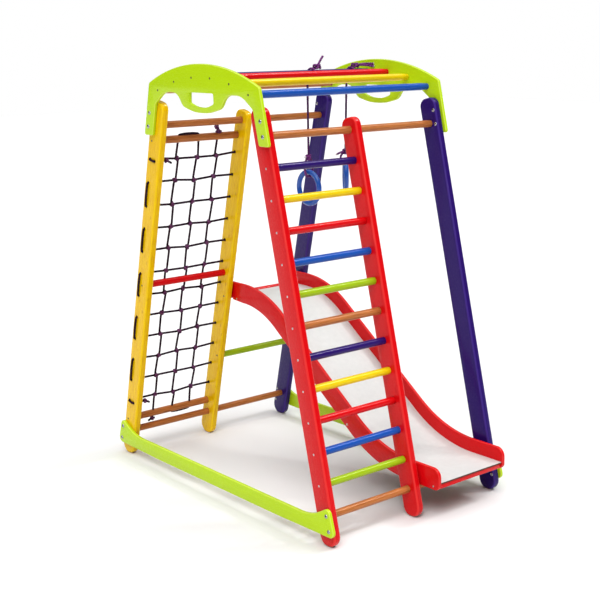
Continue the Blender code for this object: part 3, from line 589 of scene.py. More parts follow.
def worked(data, modifiers):
    """What a mesh or a curve becomes after (kind, settings) modifiers, as a plain mesh."""
    obj = add_object(data.name, data)
    for kind, settings in modifiers:
        modifier = obj.modifiers.new(kind.lower(), kind)
        if kind == "NODES":
            modifier.node_group = settings["tree"]
            for item in settings["tree"].interface.items_tree:
                if item.name in settings:
                    modifier[item.identifier] = settings[item.name]
        else:
            for name, value in settings.items():
                setattr(modifier, name, value)
    graph = bpy.context.evaluated_depsgraph_get()
    result = bpy.data.meshes.new_from_object(obj.evaluated_get(graph))
    result.name = data.name
    bpy.data.objects.remove(obj)
    return result


print("trees end in Realize Instances and Set Material")

# %% The laid rope tree
STRANDS, SECTION_POINTS = 3.0, 12
ROPE_LAY, ROPE_STEP, LOBE = 0.024, 0.002, 0.10
rope_inputs = (
    ("Route", "Geometry", None),
    ("Radius", "Float", 0.004),
    ("Lay", "Float", ROPE_LAY),
    ("Step", "Float", ROPE_STEP),
    ("Lobe", "Float", LOBE),
    ("Finish", "Material", None),
)
rope_tree, given = new_tree("laid rope", rope_inputs)
pace = {"Curve": given["Route"], "Length": given["Step"]}
even = add_node(rope_tree, "GeometryNodeResampleCurve", pace, mode="LENGTH")
run = add_node(rope_tree, "GeometryNodeSplineParameter").outputs["Length"]
turns = add_node(rope_tree, "ShaderNodeMath", [run, given["Lay"]], operation="DIVIDE")
twist = add_node(rope_tree, "ShaderNodeMath", [turns, math.tau], operation="MULTIPLY")
tilted = add_node(rope_tree, "GeometryNodeSetCurveTilt", {"Curve": even, "Tilt": twist})
circle_sockets = {"Resolution": SECTION_POINTS, "Radius": given["Radius"]}
section = add_node(rope_tree, "GeometryNodeCurvePrimitiveCircle", circle_sockets)
spot = add_node(rope_tree, "GeometryNodeInputPosition")
parts = add_node(rope_tree, "ShaderNodeSeparateXYZ", [spot]).outputs
bearing = add_node(rope_tree, "ShaderNodeMath", [parts["Y"], parts["X"]], operation="ARCTAN2")
thrice = add_node(rope_tree, "ShaderNodeMath", [bearing, STRANDS], operation="MULTIPLY")
wave = add_node(rope_tree, "ShaderNodeMath", [thrice], operation="COSINE")
swell = add_node(rope_tree, "ShaderNodeMath", [wave, given["Lobe"]], operation="MULTIPLY")
push = add_node(rope_tree, "ShaderNodeVectorMath", {0: spot, "Scale": swell}, operation="SCALE")
lobed = add_node(rope_tree, "GeometryNodeSetPosition", {"Geometry": section, "Offset": push})
sweep = {"Curve": tilted, "Profile Curve": lobed, "Fill Caps": True}
end_tree(rope_tree, add_node(rope_tree, "GeometryNodeCurveToMesh", sweep), given["Finish"])
print("rope tree has", len(rope_tree.nodes), "nodes")

# %% Rope along a route

def poly_curve(name, routes, closed=False):
    """A curve with a straight-sided line along each route, a list of points."""
    data = bpy.data.curves.new(name, "CURVE")
    data.dimensions = "3D"
    for route in routes:
        spline = data.splines.new("POLY")
        spline.points.add(len(route) - 1)
        spline.points.foreach_set("co", [c for point in route for c in (*point, 1.0)])
        spline.use_cyclic_u = closed
    return data


def rope_mesh(name, routes, radius, finish, lay=ROPE_LAY, step=ROPE_STEP, closed=False):
    """One mesh of laid rope along one or more routes."""
    sizes = {"Radius": radius, "Lay": lay, "Step": step, "Finish": finishes[finish]}
    return worked(poly_curve(name, routes, closed), [("NODES", {"tree": rope_tree} | sizes)])


print(f"a rope's strands turn once in {ROPE_LAY * 1000:.0f} mm")


# %% [markdown]
# ## Smooth routes and knots
#
# A rope's route is a short list of places. A Catmull-Rom curve passes through every one of them and bends
# smoothly between, as a limp rope does. A knot is an overhand knot pulled tight: the trefoil curve has
# just its three crossings, and squeezing it along each axis gives the lump that a real knot makes.

# %% Route and knot shapes
TREFOIL_HALF = (2.8, 3.0)  # half the width and height of the trefoil that the formula draws


def smooth_route(places, steps=8):
    """Points of a curve through all the places, straight out of both ends."""
    places = [Vector(p) for p in places]
    ends = [2 * places[0] - places[1]] + places + [2 * places[-1] - places[-2]]
    route = []
    for a, b, c, d in zip(ends, ends[1:], ends[2:], ends[3:]):
        square, cube = 2 * a - 5 * b + 4 * c - d, 3 * b - a - 3 * c + d
        for k in range(steps):
            t = k / steps
            route.append(0.5 * (2 * b + (c - a) * t + square * t**2 + cube * t**3))
    return route + [places[-1]]


def knot_route(centre, half_size, count=60):
    """A closed trefoil whose own half size along each axis is given."""
    (wide, high, deep), (trefoil_wide, trefoil_high) = half_size, TREFOIL_HALF
    route = []
    for k in range(count):
        t = math.tau * k / count
        across, up = math.sin(t) + 2 * math.sin(2 * t), math.cos(t) - 2 * math.cos(2 * t)
        shape = Vector((across, up, -math.sin(3 * t)))
        spot = Vector((shape.x * wide / trefoil_wide, shape.y * high / trefoil_high, shape.z * deep))
        route.append(Vector(centre) + spot)
    return route


def run_length(route):
    """The length of a route of straight steps."""
    return sum((b - a).length for a, b in zip(route, route[1:]))


print("a knot's route is", round(run_length(knot_route((0, 0, 0), (0.02, 0.011, 0.009))), 3), "m long")


# %% [markdown]
# ## The ring ropes
#
# Each ring hangs on 8 mm rope. The rope is tied in an eye through the ring, runs straight up, turns once
# and a quarter round a roof bar and ends in a knot with a loose tail. A free rope could be simulated, but
# it hangs straight under the ring's weight, so a straight line is true to it. That straight part is the
# only free cord, and its length is printed. The knots, the turns and the tails are pieces on it.

# %% How the two ropes are tied
ROPE_R = 0.004
BAR_LOOP_R = 0.0178  # the rope's centre line round the bar
RING_LOOP_R = 0.0160  # the same round the ring's tube
RING_R, RING_TUBE_R = 0.058, 0.0095
RING_PLANS = {  # metres along the bar, up from the ring and to each side; the ring's turn in degrees
    "near": {
        "turn": 0.0,
        "top_along": 0.015,
        "knot_along": 0.033,
        "knot_up": 0.054,
        "loop_half": 0.021,
        "upper_tails": [(0.026, 0.000, 0.036)],
        "lower_tail": (-0.020, -0.006, 0.002),
    },
    "far": {
        "turn": -38.0,
        "top_along": 0.025,
        "knot_along": 0.028,
        "knot_up": 0.033,
        "loop_half": 0.0175,
        "upper_tails": [(0.056, -0.040, -0.004), (0.058, -0.036, 0.005)],
        "lower_tail": (-0.047, -0.004, -0.008),
    },
}
hang = centre_of("roof_bar_4")


def ring_place(name):
    """The ring's middle, its top, and the level direction square to it."""
    low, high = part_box(f"{name}_ring")
    middle = (low + high) / 2
    turn = math.radians(RING_PLANS[name]["turn"])
    top = Vector((middle.x, hang.y, high.z - RING_TUBE_R))
    return middle, top, Vector((math.cos(turn), math.sin(turn), 0))


print("rings at x", [round(ring_place(name)[0].x, 3) for name in RING_PLANS])

# %% Routes of a ring rope
BAR_TURNS, TURN_STEPS, TURN_SMOOTH = 1.25, 20, 4
BELOW_BAR = -0.006  # the strand leaves the bar this far under its middle
KNOT_OVER_TURNS, KNOT_PAST_TURNS = 0.006, 0.010
EYE_UNDER_TUBE = ((0.3, -1.0), (0.8, -0.72))  # across and up, in loop radii
EYE_SIDE = ((0.94, 0.25), (1.0, 0.45), (0.62, 0.78))  # shares of half the loop and of the knot's height
EYE_NECK, EYE_NECK_UP = 0.006, 0.97
TAIL_BEND = ((0.35, 0.4), (0.7, 0.3))  # shares of a tail's reach, and of its arch
TAIL_ARCH = 0.1  # of the tail's length


def bar_turns(start, bar, high_knot, strand_start, plan):
    """The rope's turns round the bar, from just under it to the knot on top."""
    route = [strand_start, start]
    for k in range(1, TURN_STEPS + 1):
        angle = math.tau * BAR_TURNS * k / TURN_STEPS
        along = plan["top_along"] + (plan["knot_along"] - KNOT_PAST_TURNS) * k / TURN_STEPS
        route.append(bar + Vector((along, BAR_LOOP_R * math.cos(angle), BAR_LOOP_R * math.sin(angle))))
    return smooth_route(route + [high_knot], TURN_SMOOTH)


def eye(top, side_way, plan):
    """The loop through the ring, from the knot down one side and up the other."""
    half, rise = plan["loop_half"], plan["knot_up"]
    side = [(a * RING_LOOP_R, b * RING_LOOP_R) for a, b in EYE_UNDER_TUBE]
    side += [(a * half, b * rise) for a, b in EYE_SIDE] + [(EYE_NECK, EYE_NECK_UP * rise)]
    both = [(-a, b) for a, b in reversed(side)] + side
    return smooth_route([top + side_way * a + Vector((0, 0, b)) for a, b in both])


def tail(knot, reach):
    """A loose end that springs a little up out of its knot."""
    reach = Vector(reach)
    arch = Vector((0, 0, TAIL_ARCH * reach.length))
    return smooth_route([knot, *(knot + reach * a + arch * b for a, b in TAIL_BEND), knot + reach])


print("the rope turns", BAR_TURNS, "times round the bar")

# %% Tie the ring ropes
HIGH_KNOT_HALF, LOW_KNOT_HALF = (0.016, 0.0075, 0.006), (0.009, 0.0075, 0.008)
CUT_END, CUT_SWELL = 0.0018, 1.04  # the rope's ends are melted this far, and swell a little
STRAND_POINTS, STRAND_LAP = 20, 0.03  # the turns start this share down the strand, so that no gap shows


def hang_rope(name):
    """Ties one ring's rope. It returns the free strand's length."""
    plan, body = RING_PLANS[name], f"{name}_rope"
    middle, top, side_way = ring_place(name)
    low_knot = top + Vector((0, 0, plan["knot_up"]))
    bar = Vector((middle.x, hang.y, hang.z))
    start = bar + Vector((plan["top_along"], BAR_LOOP_R, BELOW_BAR))
    high_knot = bar + Vector((plan["top_along"] + plan["knot_along"], 0, BAR_LOOP_R + KNOT_OVER_TURNS))
    strand = [start.lerp(low_knot, k / (STRAND_POINTS - 1)) for k in range(STRAND_POINTS)]
    tails = [tail(high_knot, reach) for reach in plan["upper_tails"]] + [tail(low_knot, plan["lower_tail"])]
    tied = {
        "knots": [knot_route(high_knot, HIGH_KNOT_HALF), knot_route(low_knot, LOW_KNOT_HALF)],
        "turns": [bar_turns(start, bar, high_knot, start.lerp(low_knot, STRAND_LAP), plan)],
        "eye": [eye(top, side_way, plan)],
        "tails": tails,
    }
    for part, routes in tied.items():
        mesh = rope_mesh(f"{body}_{part}", routes, ROPE_R, "ring_rope", closed=part == "knots")
        piece(mesh, "ring_rope", body, sharp=ROPE_ANGLE)
    ends = [[route[-1], route[-1] + (route[-1] - route[-2]).normalized() * CUT_END] for route in tails]
    melted = rope_mesh(f"{body}_cut_ends", ends, ROPE_R * CUT_SWELL, "cut_end", step=CUT_END / 2)
    piece(melted, "cut_end", body)
    strand_mesh = rope_mesh(f"{body}_strand", [strand], ROPE_R, "shaded_ring_strand")
    hung = piece(strand_mesh, "shaded_ring_strand", body, [f"{name}_ring_rope"], sharp=ROPE_ANGLE)
    return run_length(strand)


for ring_name in RING_PLANS:
    print(f"{ring_name} ring rope hangs {hang_rope(ring_name) * 1000:.0f} mm")


# %% [markdown]
# ## The rings
#
# A gym ring for small hands is a hollow moulded hoop, 135 mm across. Its mould leaves a fine raised line
# where the halves meet, round the outside and the inside. Blender's torus has no such line, so a slightly
# peaked section is turned round the hoop's centre, which gives the hoop and the line in one step.

# %% Rings
SECTION_STEPS, HOOP_STEPS = 40, 96
MOULD_LINE = 0.00035


def skin(bm, rows, hoop=False):
    """Faces between closed rows of points, capped at both ends unless the rows run round a hoop."""
    rows = [[bm.verts.new(spot) for spot in row] for row in rows]
    if not hoop:
        bm.faces.new(rows[0])
        bm.faces.new(rows[-1])
    for row, other in zip(rows, rows[1:] + (rows[:1] if hoop else [])):
        for k in range(len(row)):
            n = (k + 1) % len(row)
            bm.faces.new((row[k], row[n], other[n], other[k]))


def mesh_of(bm, name):
    """A bmesh as a mesh with its faces pointing outwards."""
    bmesh.ops.recalc_face_normals(bm, faces=bm.faces)
    mesh = bpy.data.meshes.new(name)
    bm.to_mesh(mesh)
    bm.free()
    return mesh


def ring_mesh(name):
    """A moulded hoop, square to the ring's own direction."""
    middle, _, side_way = ring_place(name)
    across = Vector((-side_way.y, side_way.x, 0))
    rows = []
    for i in range(HOOP_STEPS):
        around = math.tau * i / HOOP_STEPS
        outward = across * math.cos(around) + Vector((0, 0, math.sin(around)))
        row = []
        for k in range(SECTION_STEPS):
            angle = math.tau * k / SECTION_STEPS
            radius = RING_TUBE_R + (MOULD_LINE if k % (SECTION_STEPS // 2) == 0 else 0.0)
            spot = outward * (RING_R + radius * math.cos(angle)) + side_way * radius * math.sin(angle)
            row.append(middle + spot)
        rows.append(row)
    bm = bmesh.new()
    skin(bm, rows, hoop=True)
    return mesh_of(bm, f"{name}_moulded_ring")


for ring_name in RING_PLANS:
    piece(ring_mesh(ring_name), "plastic", f"{ring_name}_ring_body", [f"{ring_name}_ring"])
print("rings", round(2000 * (RING_R + RING_TUBE_R)), "mm across")


# %% [markdown]
# ## Boards with rounded edges
#
# The legs, plates and rails are all flat boards sawn to an outline, drilled, and run along a router that
# rounds their edges. One function does the same here: it fills an outline, gives it a thickness along X,
# bevels the sharp edges, and then cuts the holes and sockets with one boolean. Corners come from a list
# of places, each with its radius, so a curve is never a long list of points.

# %% Outline helpers
ARC_STEP = math.radians(7)
HOLE_SIDES = 40


def rounded(corners):
    """An outline from (y, z, radius) corners, with an arc at each corner that has a radius."""
    outline = []
    for i, (y, z, radius) in enumerate(corners):
        corner = Vector((y, z))
        if radius == 0:
            outline.append(corner)
            continue
        into = (corner - Vector(corners[i - 1][:2])).normalized()
        away = (Vector(corners[(i + 1) % len(corners)][:2]) - corner).normalized()
        turn = into.angle_signed(away)
        start = corner - into * radius * math.tan(abs(turn) / 2)
        inward = Vector((-into.y, into.x)) * (-1 if turn > 0 else 1)
        centre = start + inward * radius
        spoke = start - centre
        count = max(2, math.ceil(abs(turn) / ARC_STEP))
        for k in range(count + 1):
            outline.append(centre + Matrix.Rotation(-turn * k / count, 2) @ spoke)
    return outline


def both_sides(half):
    """A whole outline from its +Y half, about the frame's middle."""
    return [(middle_y + y, z, r) for y, z, r in half] + [(middle_y - y, z, r) for y, z, r in reversed(half)]


def circle(centre, radius, sides=HOLE_SIDES):
    """The outline of a hole."""
    angles = [math.tau * k / sides for k in range(sides)]
    return [(centre[0] + radius * math.cos(a), centre[1] + radius * math.sin(a)) for a in angles]


print("arcs turn", round(math.degrees(ARC_STEP)), "degrees a step")

# %% Saw, rout and drill a board
SHARP_EDGE = math.radians(50)  # the router rounds edges that turn more than this


def add_prism(bm, outline, x_start, x_end):
    """A solid of one outline between two X."""
    skin(bm, [[(x, *p) for p in outline] for x in (x_start, x_end)])


def cut_away(mesh, bm):
    """The mesh less the solids in a bmesh."""
    cutter = add_object("cutter", mesh_of(bm, "cutter"))
    result = worked(mesh, [("BOOLEAN", {"object": cutter, "operation": "DIFFERENCE"})])
    bpy.data.objects.remove(cutter)
    return result


def board(name, outline, x_start, x_end, round_over, cuts=(), edge_faces=5):
    """A routed board. Each cut is (outline, x from, x to)."""
    bm = bmesh.new()
    add_prism(bm, outline, x_start, x_end)
    bevel = {"width": round_over, "segments": edge_faces, "limit_method": "ANGLE", "angle_limit": SHARP_EDGE}
    routed = worked(mesh_of(bm, f"{name}_board"), [("BEVEL", bevel)])
    if cuts:
        bm = bmesh.new()
        for cut in cuts:
            add_prism(bm, *cut)
        routed = cut_away(routed, bm)
    store_edges(routed, x_start, x_end, round_over)
    return routed


print("the router rounds edges over", round(math.degrees(SHARP_EDGE)), "degrees")


# %% [markdown]
# ## Where the bars go
#
# On the real gym the bars' ends sit in sockets that are drilled into the legs. A bar's place comes from
# its own box in the frame, so this cell only sorts the bars by the legs they enter. Each leg then gets a
# socket for each bar that ends in it, and a through hole for the long bars that run on.

# %% Bars and their sockets
BAR_R, NET_BAR_R = 0.0128, 0.0138
SOCKET_PLAY = 0.0005
rungs = [f"ladder_rung_{i + 1:02d}" for i in range(11)]
roof_bars = [f"roof_bar_{i + 1}" for i in range(6)]
rung_colours = ("green", "blue", "red", "sun_yellow", "purple", "wood")
roof_colours = ("blue", "sun_yellow", "red", "purple", "green", "wood")
bar_colours = {rung: rung_colours[i % len(rung_colours)] for i, rung in enumerate(rungs)}
bar_colours |= dict(zip(roof_bars, roof_colours))
bar_colours |= {"net_middle_rung": "red", "rear_low_rung": "green", "slide_hook_bar": "red"}
for natural in ("front_bottom", "front_top", "back_bottom", "back_top", "net_top", "net_bottom"):
    bar_colours[f"{natural}_bar"] = "wood"


def bar_radius(node):
    """The net's own two bars are a little thicker."""
    return NET_BAR_R if node in ("net_top_bar", "net_bottom_bar") else BAR_R


def sockets_of(side, end):
    """Cuts for every bar that enters or crosses one leg."""
    x_start, x_end = legs_x[end], legs_x[end] + leg_thick
    cuts = []
    for node in bar_colours:
        low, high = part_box(node)
        middle = (low + high) / 2
        if node in roof_bars or (middle.y - middle_y) * side < 0:
            continue
        if high.x < x_start or low.x > x_end:
            continue
        start = x_start - leg_thick if low.x < x_start else low.x - SOCKET_PLAY
        stop = x_end + leg_thick if high.x > x_end else high.x + SOCKET_PLAY
        cuts.append((circle(middle.yz, bar_radius(node) + SOCKET_PLAY), start, stop))
    return cuts


print("bars:", len(bar_colours), "cuts in the near front leg:", len(sockets_of(FRONT, "near")))


# %% [markdown]
# ## The legs
#
# Each leg is a 76 mm board with rounded corners at the top and a round foot with a small flat under it.
# The front pair by the ladder is red and the back pair by the net yellow, while both far legs are purple.
# The net's legs are drilled where its rope goes through. One outline serves all six, so only its height
# and its holes differ.

# %% Shape of a leg
FOOT_FLAT = 0.017
LEG_TOPS = {"near": 1.388, "inner": 1.340, "far": 1.388}
LEG_TOP_R, LEG_ROUND = 0.029, 0.006
NET_ROWS, NET_ROW_TOP, NET_ROW_PITCH = 12, 1.2087, 0.0893
NET_ACROSS, NET_STITCH = 0.0160, 0.028
NET_HOLE_R, NET_HOLE_SIDES = 0.0070, 20


def leg_outline(side, top):
    """A leaning leg: rounded corners at the top, and a round foot with a flat under it."""
    half = LEG_WIDE / 2
    corner = half - LEG_TOP_R
    head_along = (top - LEG_TOP_R - math.sin(LEG_SLOPE) * corner) / math.cos(LEG_SLOPE)
    outer, inner = Vector(on_leg(BACK, head_along, corner)), Vector(on_leg(BACK, head_along, -corner))
    foot_high = math.sqrt(half**2 - (FOOT_FLAT / 2) ** 2)
    foot = Vector(on_leg(BACK, foot_high / math.cos(LEG_SLOPE)))
    cut = math.asin(FOOT_FLAT / 2 / half)
    quarter = LEG_SLOPE + math.pi / 2
    arcs = (  # centre, radius, from, to, steps
        (outer, LEG_TOP_R, LEG_SLOPE, quarter, 12),
        (inner, LEG_TOP_R, quarter, math.pi + LEG_SLOPE, 12),
        (foot, half, math.pi + LEG_SLOPE, 1.5 * math.pi - cut, 10),
        (foot, half, 1.5 * math.pi + cut, math.tau + LEG_SLOPE, 14),
    )
    outline = []
    for centre, radius, start, end, count in arcs:
        for k in range(count + 1):
            angle = start + (end - start) * k / count
            spot = centre + radius * Vector((math.cos(angle), math.sin(angle)))
            outline.append((middle_y + side * (spot.x - middle_y), spot.y))
    return outline


def row_on_leg(row, across=NET_ACROSS):
    """(y, z) of a row of the net on the back legs."""
    return on_leg(BACK, NET_ROW_TOP - NET_ROW_PITCH * row, across)


def net_holes(end):
    """The rope's holes through a back leg, with the near leg's two extra ones for its ends."""
    places = [row_on_leg(row) for row in range(NET_ROWS)]
    if end == "near":
        places += [row_on_leg(row, NET_ACROSS - NET_STITCH) for row in (0, NET_ROWS - 1)]
    ends = (legs_x[end] - leg_thick, legs_x[end] + 2 * leg_thick)
    return [(circle(place, NET_HOLE_R, NET_HOLE_SIDES), *ends) for place in places]


print("a leg's outline has", len(leg_outline(FRONT, LEG_TOPS["near"])), "points")

# %% Make the legs
for side, side_name, colour in ((FRONT, "front", "red"), (BACK, "back", "yellow")):
    up = Vector((0, -side * math.sin(LEG_SLOPE), math.cos(LEG_SLOPE)))
    for end, x in legs_x.items():
        node = f"{side_name}_leg_{end}"
        cuts = sockets_of(side, end)
        if side == BACK and end != "far":
            cuts += net_holes(end)
        shape = board(node, leg_outline(side, LEG_TOPS[end]), x, x + leg_thick, LEG_ROUND, cuts)
        coat = "purple" if end == "far" else colour
        piece(shape, coat, "frame", [node], (up, Vector((1, 0, 0))))
        print(node, coat, len(cuts), "cuts")


# %% [markdown]
# ## Turned bars by geometry nodes
#
# All 26 bars are the same thing at other lengths and places, so one tree makes them: a line, sampled more
# closely near its ends, whose radius falls a little in the last 2 mm, where the turner eased the edge. A
# circle swept along it gives the bar.

# %% The turned bar tree
BAR_RINGS, BAR_SIDES = 24, 48
BAR_EASE, EASED_TO = 0.002, 0.88  # the eased length, and the radius at the very end as a share
bar_inputs = (
    ("Start", "Vector", None),
    ("Length", "Float", 0.35),
    ("Radius", "Float", BAR_R),
    ("Ease", "Float", BAR_EASE),
    ("Finish", "Material", None),
)
bar_tree, given = new_tree("turned bar", bar_inputs)
far_end = add_node(bar_tree, "ShaderNodeCombineXYZ", [given["Length"]])
axis = add_node(bar_tree, "GeometryNodeCurvePrimitiveLine", {"End": far_end})
sampled = add_node(bar_tree, "GeometryNodeResampleCurve", {"Curve": axis, "Count": BAR_RINGS}, mode="COUNT")
share = add_node(bar_tree, "GeometryNodeSplineParameter").outputs["Factor"]
half_turn = add_node(bar_tree, "ShaderNodeMath", [share, math.pi], operation="MULTIPLY")
swing = add_node(bar_tree, "ShaderNodeMath", [half_turn], operation="COSINE")
closer = add_node(bar_tree, "ShaderNodeMath", [swing, -0.5, 0.5], operation="MULTIPLY_ADD")
reach = add_node(bar_tree, "ShaderNodeMath", [closer, given["Length"]], operation="MULTIPLY")
spot = add_node(bar_tree, "ShaderNodeCombineXYZ", [reach])
spaced = add_node(bar_tree, "GeometryNodeSetPosition", {"Geometry": sampled, "Position": spot})
rest = add_node(bar_tree, "ShaderNodeMath", [given["Length"], reach], operation="SUBTRACT")
nearer = add_node(bar_tree, "ShaderNodeMath", [reach, rest], operation="MINIMUM")
easing = {"Value": nearer, "From Max": given["Ease"], "To Min": EASED_TO, "To Max": 1.0}
eased = add_node(bar_tree, "ShaderNodeMapRange", easing, interpolation_type="SMOOTHERSTEP")
shaped = add_node(bar_tree, "GeometryNodeSetCurveRadius", {"Curve": spaced, "Radius": eased})
rim_sockets = {"Resolution": BAR_SIDES, "Radius": given["Radius"]}
rim = add_node(bar_tree, "GeometryNodeCurvePrimitiveCircle", rim_sockets)
sweep = {"Curve": shaped, "Profile Curve": rim, "Fill Caps": True}
turned_bar = add_node(bar_tree, "GeometryNodeCurveToMesh", sweep)
if "Scale" in turned_bar.inputs:
    feed(turned_bar, {"Scale": add_node(bar_tree, "GeometryNodeInputRadius")})
moved = add_node(bar_tree, "GeometryNodeTransform", {"Geometry": turned_bar, "Translation": given["Start"]})
end_tree(bar_tree, moved, given["Finish"])
print("bar tree has", len(bar_tree.nodes), "nodes")

# %% Turn the bars
for node, colour in bar_colours.items():
    low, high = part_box(node)
    middle = (low + high) / 2
    sizes = {"Start": (low.x, middle.y, middle.z), "Length": high.x - low.x, "Radius": bar_radius(node)}
    sizes |= {"tree": bar_tree, "Finish": finishes[colour]}
    shape = worked(bpy.data.meshes.new(f"{node}_turned"), [("NODES", sizes)])
    piece(shape, colour, "frame", [node])
print("turned", len(bar_colours), "bars of", len(shape.polygons), "faces")


# %% [markdown]
# ## End plates and floor braces
#
# Each end has a curved roof plate of 12 mm plywood with a hand hole and two finger arches, and a long low
# brace whose ends flare to take two bolts. Both are the same on either side of the middle, so half an
# outline is written and mirrored. Their sawn edges are rounded by 3 mm, and the lime lacquer is thinnest
# there, with a paler colour on them as a painted highlight.

# %% Roof plates and braces
PLATE_THICK, PLATE_GAP, PLATE_ROUND, PLATE_EDGE_FACES = 0.012, 0.0003, 0.003, 4
ROOF_TOP, ROOF_R, ROOF_STEPS = 1.519, 0.775, 22
ROOF_LEG_OUT, ROOF_LEG_IN, ROOF_LEG_END = 0.048, -0.0028, 1.266
SHOULDER_R, LEG_END_R = 0.012, 0.008
ROOF_CUT = (  # (y, z, radius) corners of the lower edge, from a leg to the middle
    (0.2850, 1.3780, 0.020),
    (0.2250, 1.4205, 0.090),
    (0.1431, 1.4205, 0.055),
    (0.1120, 1.3746, 0.042),
    (0.0400, 1.3572, 0.200),
)
HAND_HOLE = ((0.0705, 1.4240, 0.006), (0.0724, 1.3895, 0.008), (0.0350, 1.3757, 0.150))
BRACE_HALF = (  # the same for a brace: out along its lower edge, up its flared end and back
    (0.3600, 0.0360, 0.0),
    (0.6605, 0.0413, 0.019),
    (0.6310, 0.1420, 0.018),
    (0.5390, 0.0905, 0.200),
)


def roof_outline():
    """The plate's upper edge is one arc, and its lower edge runs down the legs and along the arches."""
    centre_z = ROOF_TOP - ROOF_R
    corner_z = ROOF_TOP
    for _ in range(20):  # the arc meets the leg's outer line at a height that settles in a few rounds
        corner_y = FOOT_Y - corner_z * math.tan(LEG_SLOPE) + ROOF_LEG_OUT / math.cos(LEG_SLOPE)
        corner_z = centre_z + math.sqrt(ROOF_R**2 - corner_y**2)
    arc = [corner_y * k / ROOF_STEPS for k in range(1, ROOF_STEPS)]
    half = [(y, centre_z + math.sqrt(ROOF_R**2 - y**2), 0) for y in arc] + [(corner_y, corner_z, SHOULDER_R)]
    for across in (ROOF_LEG_OUT, ROOF_LEG_IN):
        along = (ROOF_LEG_END - across * math.sin(LEG_SLOPE)) / math.cos(LEG_SLOPE)
        y, z = on_leg(BACK, along, across)
        half.append((y - middle_y, z, LEG_END_R))
    return rounded([(middle_y, ROOF_TOP, 0)] + both_sides(half + list(ROOF_CUT)))


plates_x = {"near": near_x - PLATE_GAP - PLATE_THICK, "far": far_x + PLATE_GAP}
for end, x in plates_x.items():
    hand = (rounded(both_sides(HAND_HOLE)), x - PLATE_THICK, x + 2 * PLATE_THICK)
    outlines = {"roof_plate": (roof_outline(), [hand]), "floor_brace": (rounded(both_sides(BRACE_HALF)), ())}
    for kind, (outline, holes) in outlines.items():
        node = f"{kind}_{end}"
        shape = board(node, outline, x, x + PLATE_THICK, PLATE_ROUND, holes, PLATE_EDGE_FACES)
        piece(shape, "lime", "frame", [node], ((0, 1, 0), (0, 0, 1)))
print("roof plate outline has", len(roof_outline()), "points")


# %% [markdown]
# ## The climbing net
#
# The net is two ropes of about 8 mm. One is laced to and fro through the holes in the two back legs, so
# short lengths of it lie on the legs' outer faces. The other goes up and down between the net's two bars.
# They are knotted where they cross, and each crossing pulls the ropes a little out of line. A flat grid
# would be quicker, but it would lack those lengths and turns, so each rope follows its whole route as one
# line.

# %% How the net lies
NET_ROPE_R = 0.0042
NET_COLUMNS = 3
NET_TOP_ALONG, NET_BOTTOM_ALONG = 1.2767, 0.1440
NET_STAND_OFF = 0.0038
TIGHT_BEND, MOST_OF_SIDE = 0.0055, 0.45  # a rope turns from this far before a corner, or this share
SAG_TOP_ROW, SAG_ROW = 0.008, 0.003
PULL, SIDE_PULL = 0.0030, 0.6  # how far a knot pulls a crossing up, and the share of that to the side
SIDE_WAVE, UP_WAVE = (2.4, 1.7), (1.9, 2.9)  # radians of the pull's wave from row to row and column to column
JOG, JOG_HIGH = 0.0042, 0.0065  # the upright rope goes into a knot on one side and leaves on the other

ladder_bay = inner_x - near_x - leg_thick
columns = [near_x + leg_thick + ladder_bay * (i + 1) / (NET_COLUMNS + 1) for i in range(NET_COLUMNS)]


def net_place(row, x):
    """A point of a row, which sags a little between the legs."""
    y, z = row_on_leg(row)
    share = min(1, max(0, (x - near_x - leg_thick) / ladder_bay))
    deep = SAG_TOP_ROW if row == 0 else SAG_ROW
    return Vector((x, y, z - deep * 4 * share * (1 - share)))


def net_knot(row, column):
    """A crossing, pulled to one side and the other in turn."""
    swing = SIDE_PULL * PULL * math.sin(SIDE_WAVE[0] * row + SIDE_WAVE[1] * column)
    lift = PULL * math.sin(UP_WAVE[0] * row + UP_WAVE[1] * column)
    return net_place(row, columns[column] + swing) + Vector((0, 0, lift))


def jog(row, column):
    """The upright rope's two places at a crossing, from above to below."""
    side = 1 if (row + column) % 2 == 0 else -1
    middle, lean = net_knot(row, column), Vector((0, 0, JOG_HIGH))
    aside = Vector((JOG * side, 0, 0))
    return [middle - aside + lean, middle + aside - lean]


def warp_place(x, along):
    """A point of the upright rope, up the back legs' centre line."""
    return Vector((x, *on_leg(BACK, along, NET_ACROSS)))


def turned_corners(route, steps=4):
    """The route with each corner swept round, as a rope goes over an edge."""
    soft = [route[0]]
    for before, corner, after in zip(route, route[1:], route[2:]):
        back, on = before - corner, after - corner
        start = corner + back.normalized() * min(TIGHT_BEND, back.length * MOST_OF_SIDE)
        end = corner + on.normalized() * min(TIGHT_BEND, on.length * MOST_OF_SIDE)
        for t in [k / steps for k in range(steps + 1)]:
            soft.append(start * (1 - t) ** 2 + corner * 2 * t * (1 - t) + end * t**2)
    return soft + [route[-1]]


print("columns at x", [round(x, 3) for x in columns])

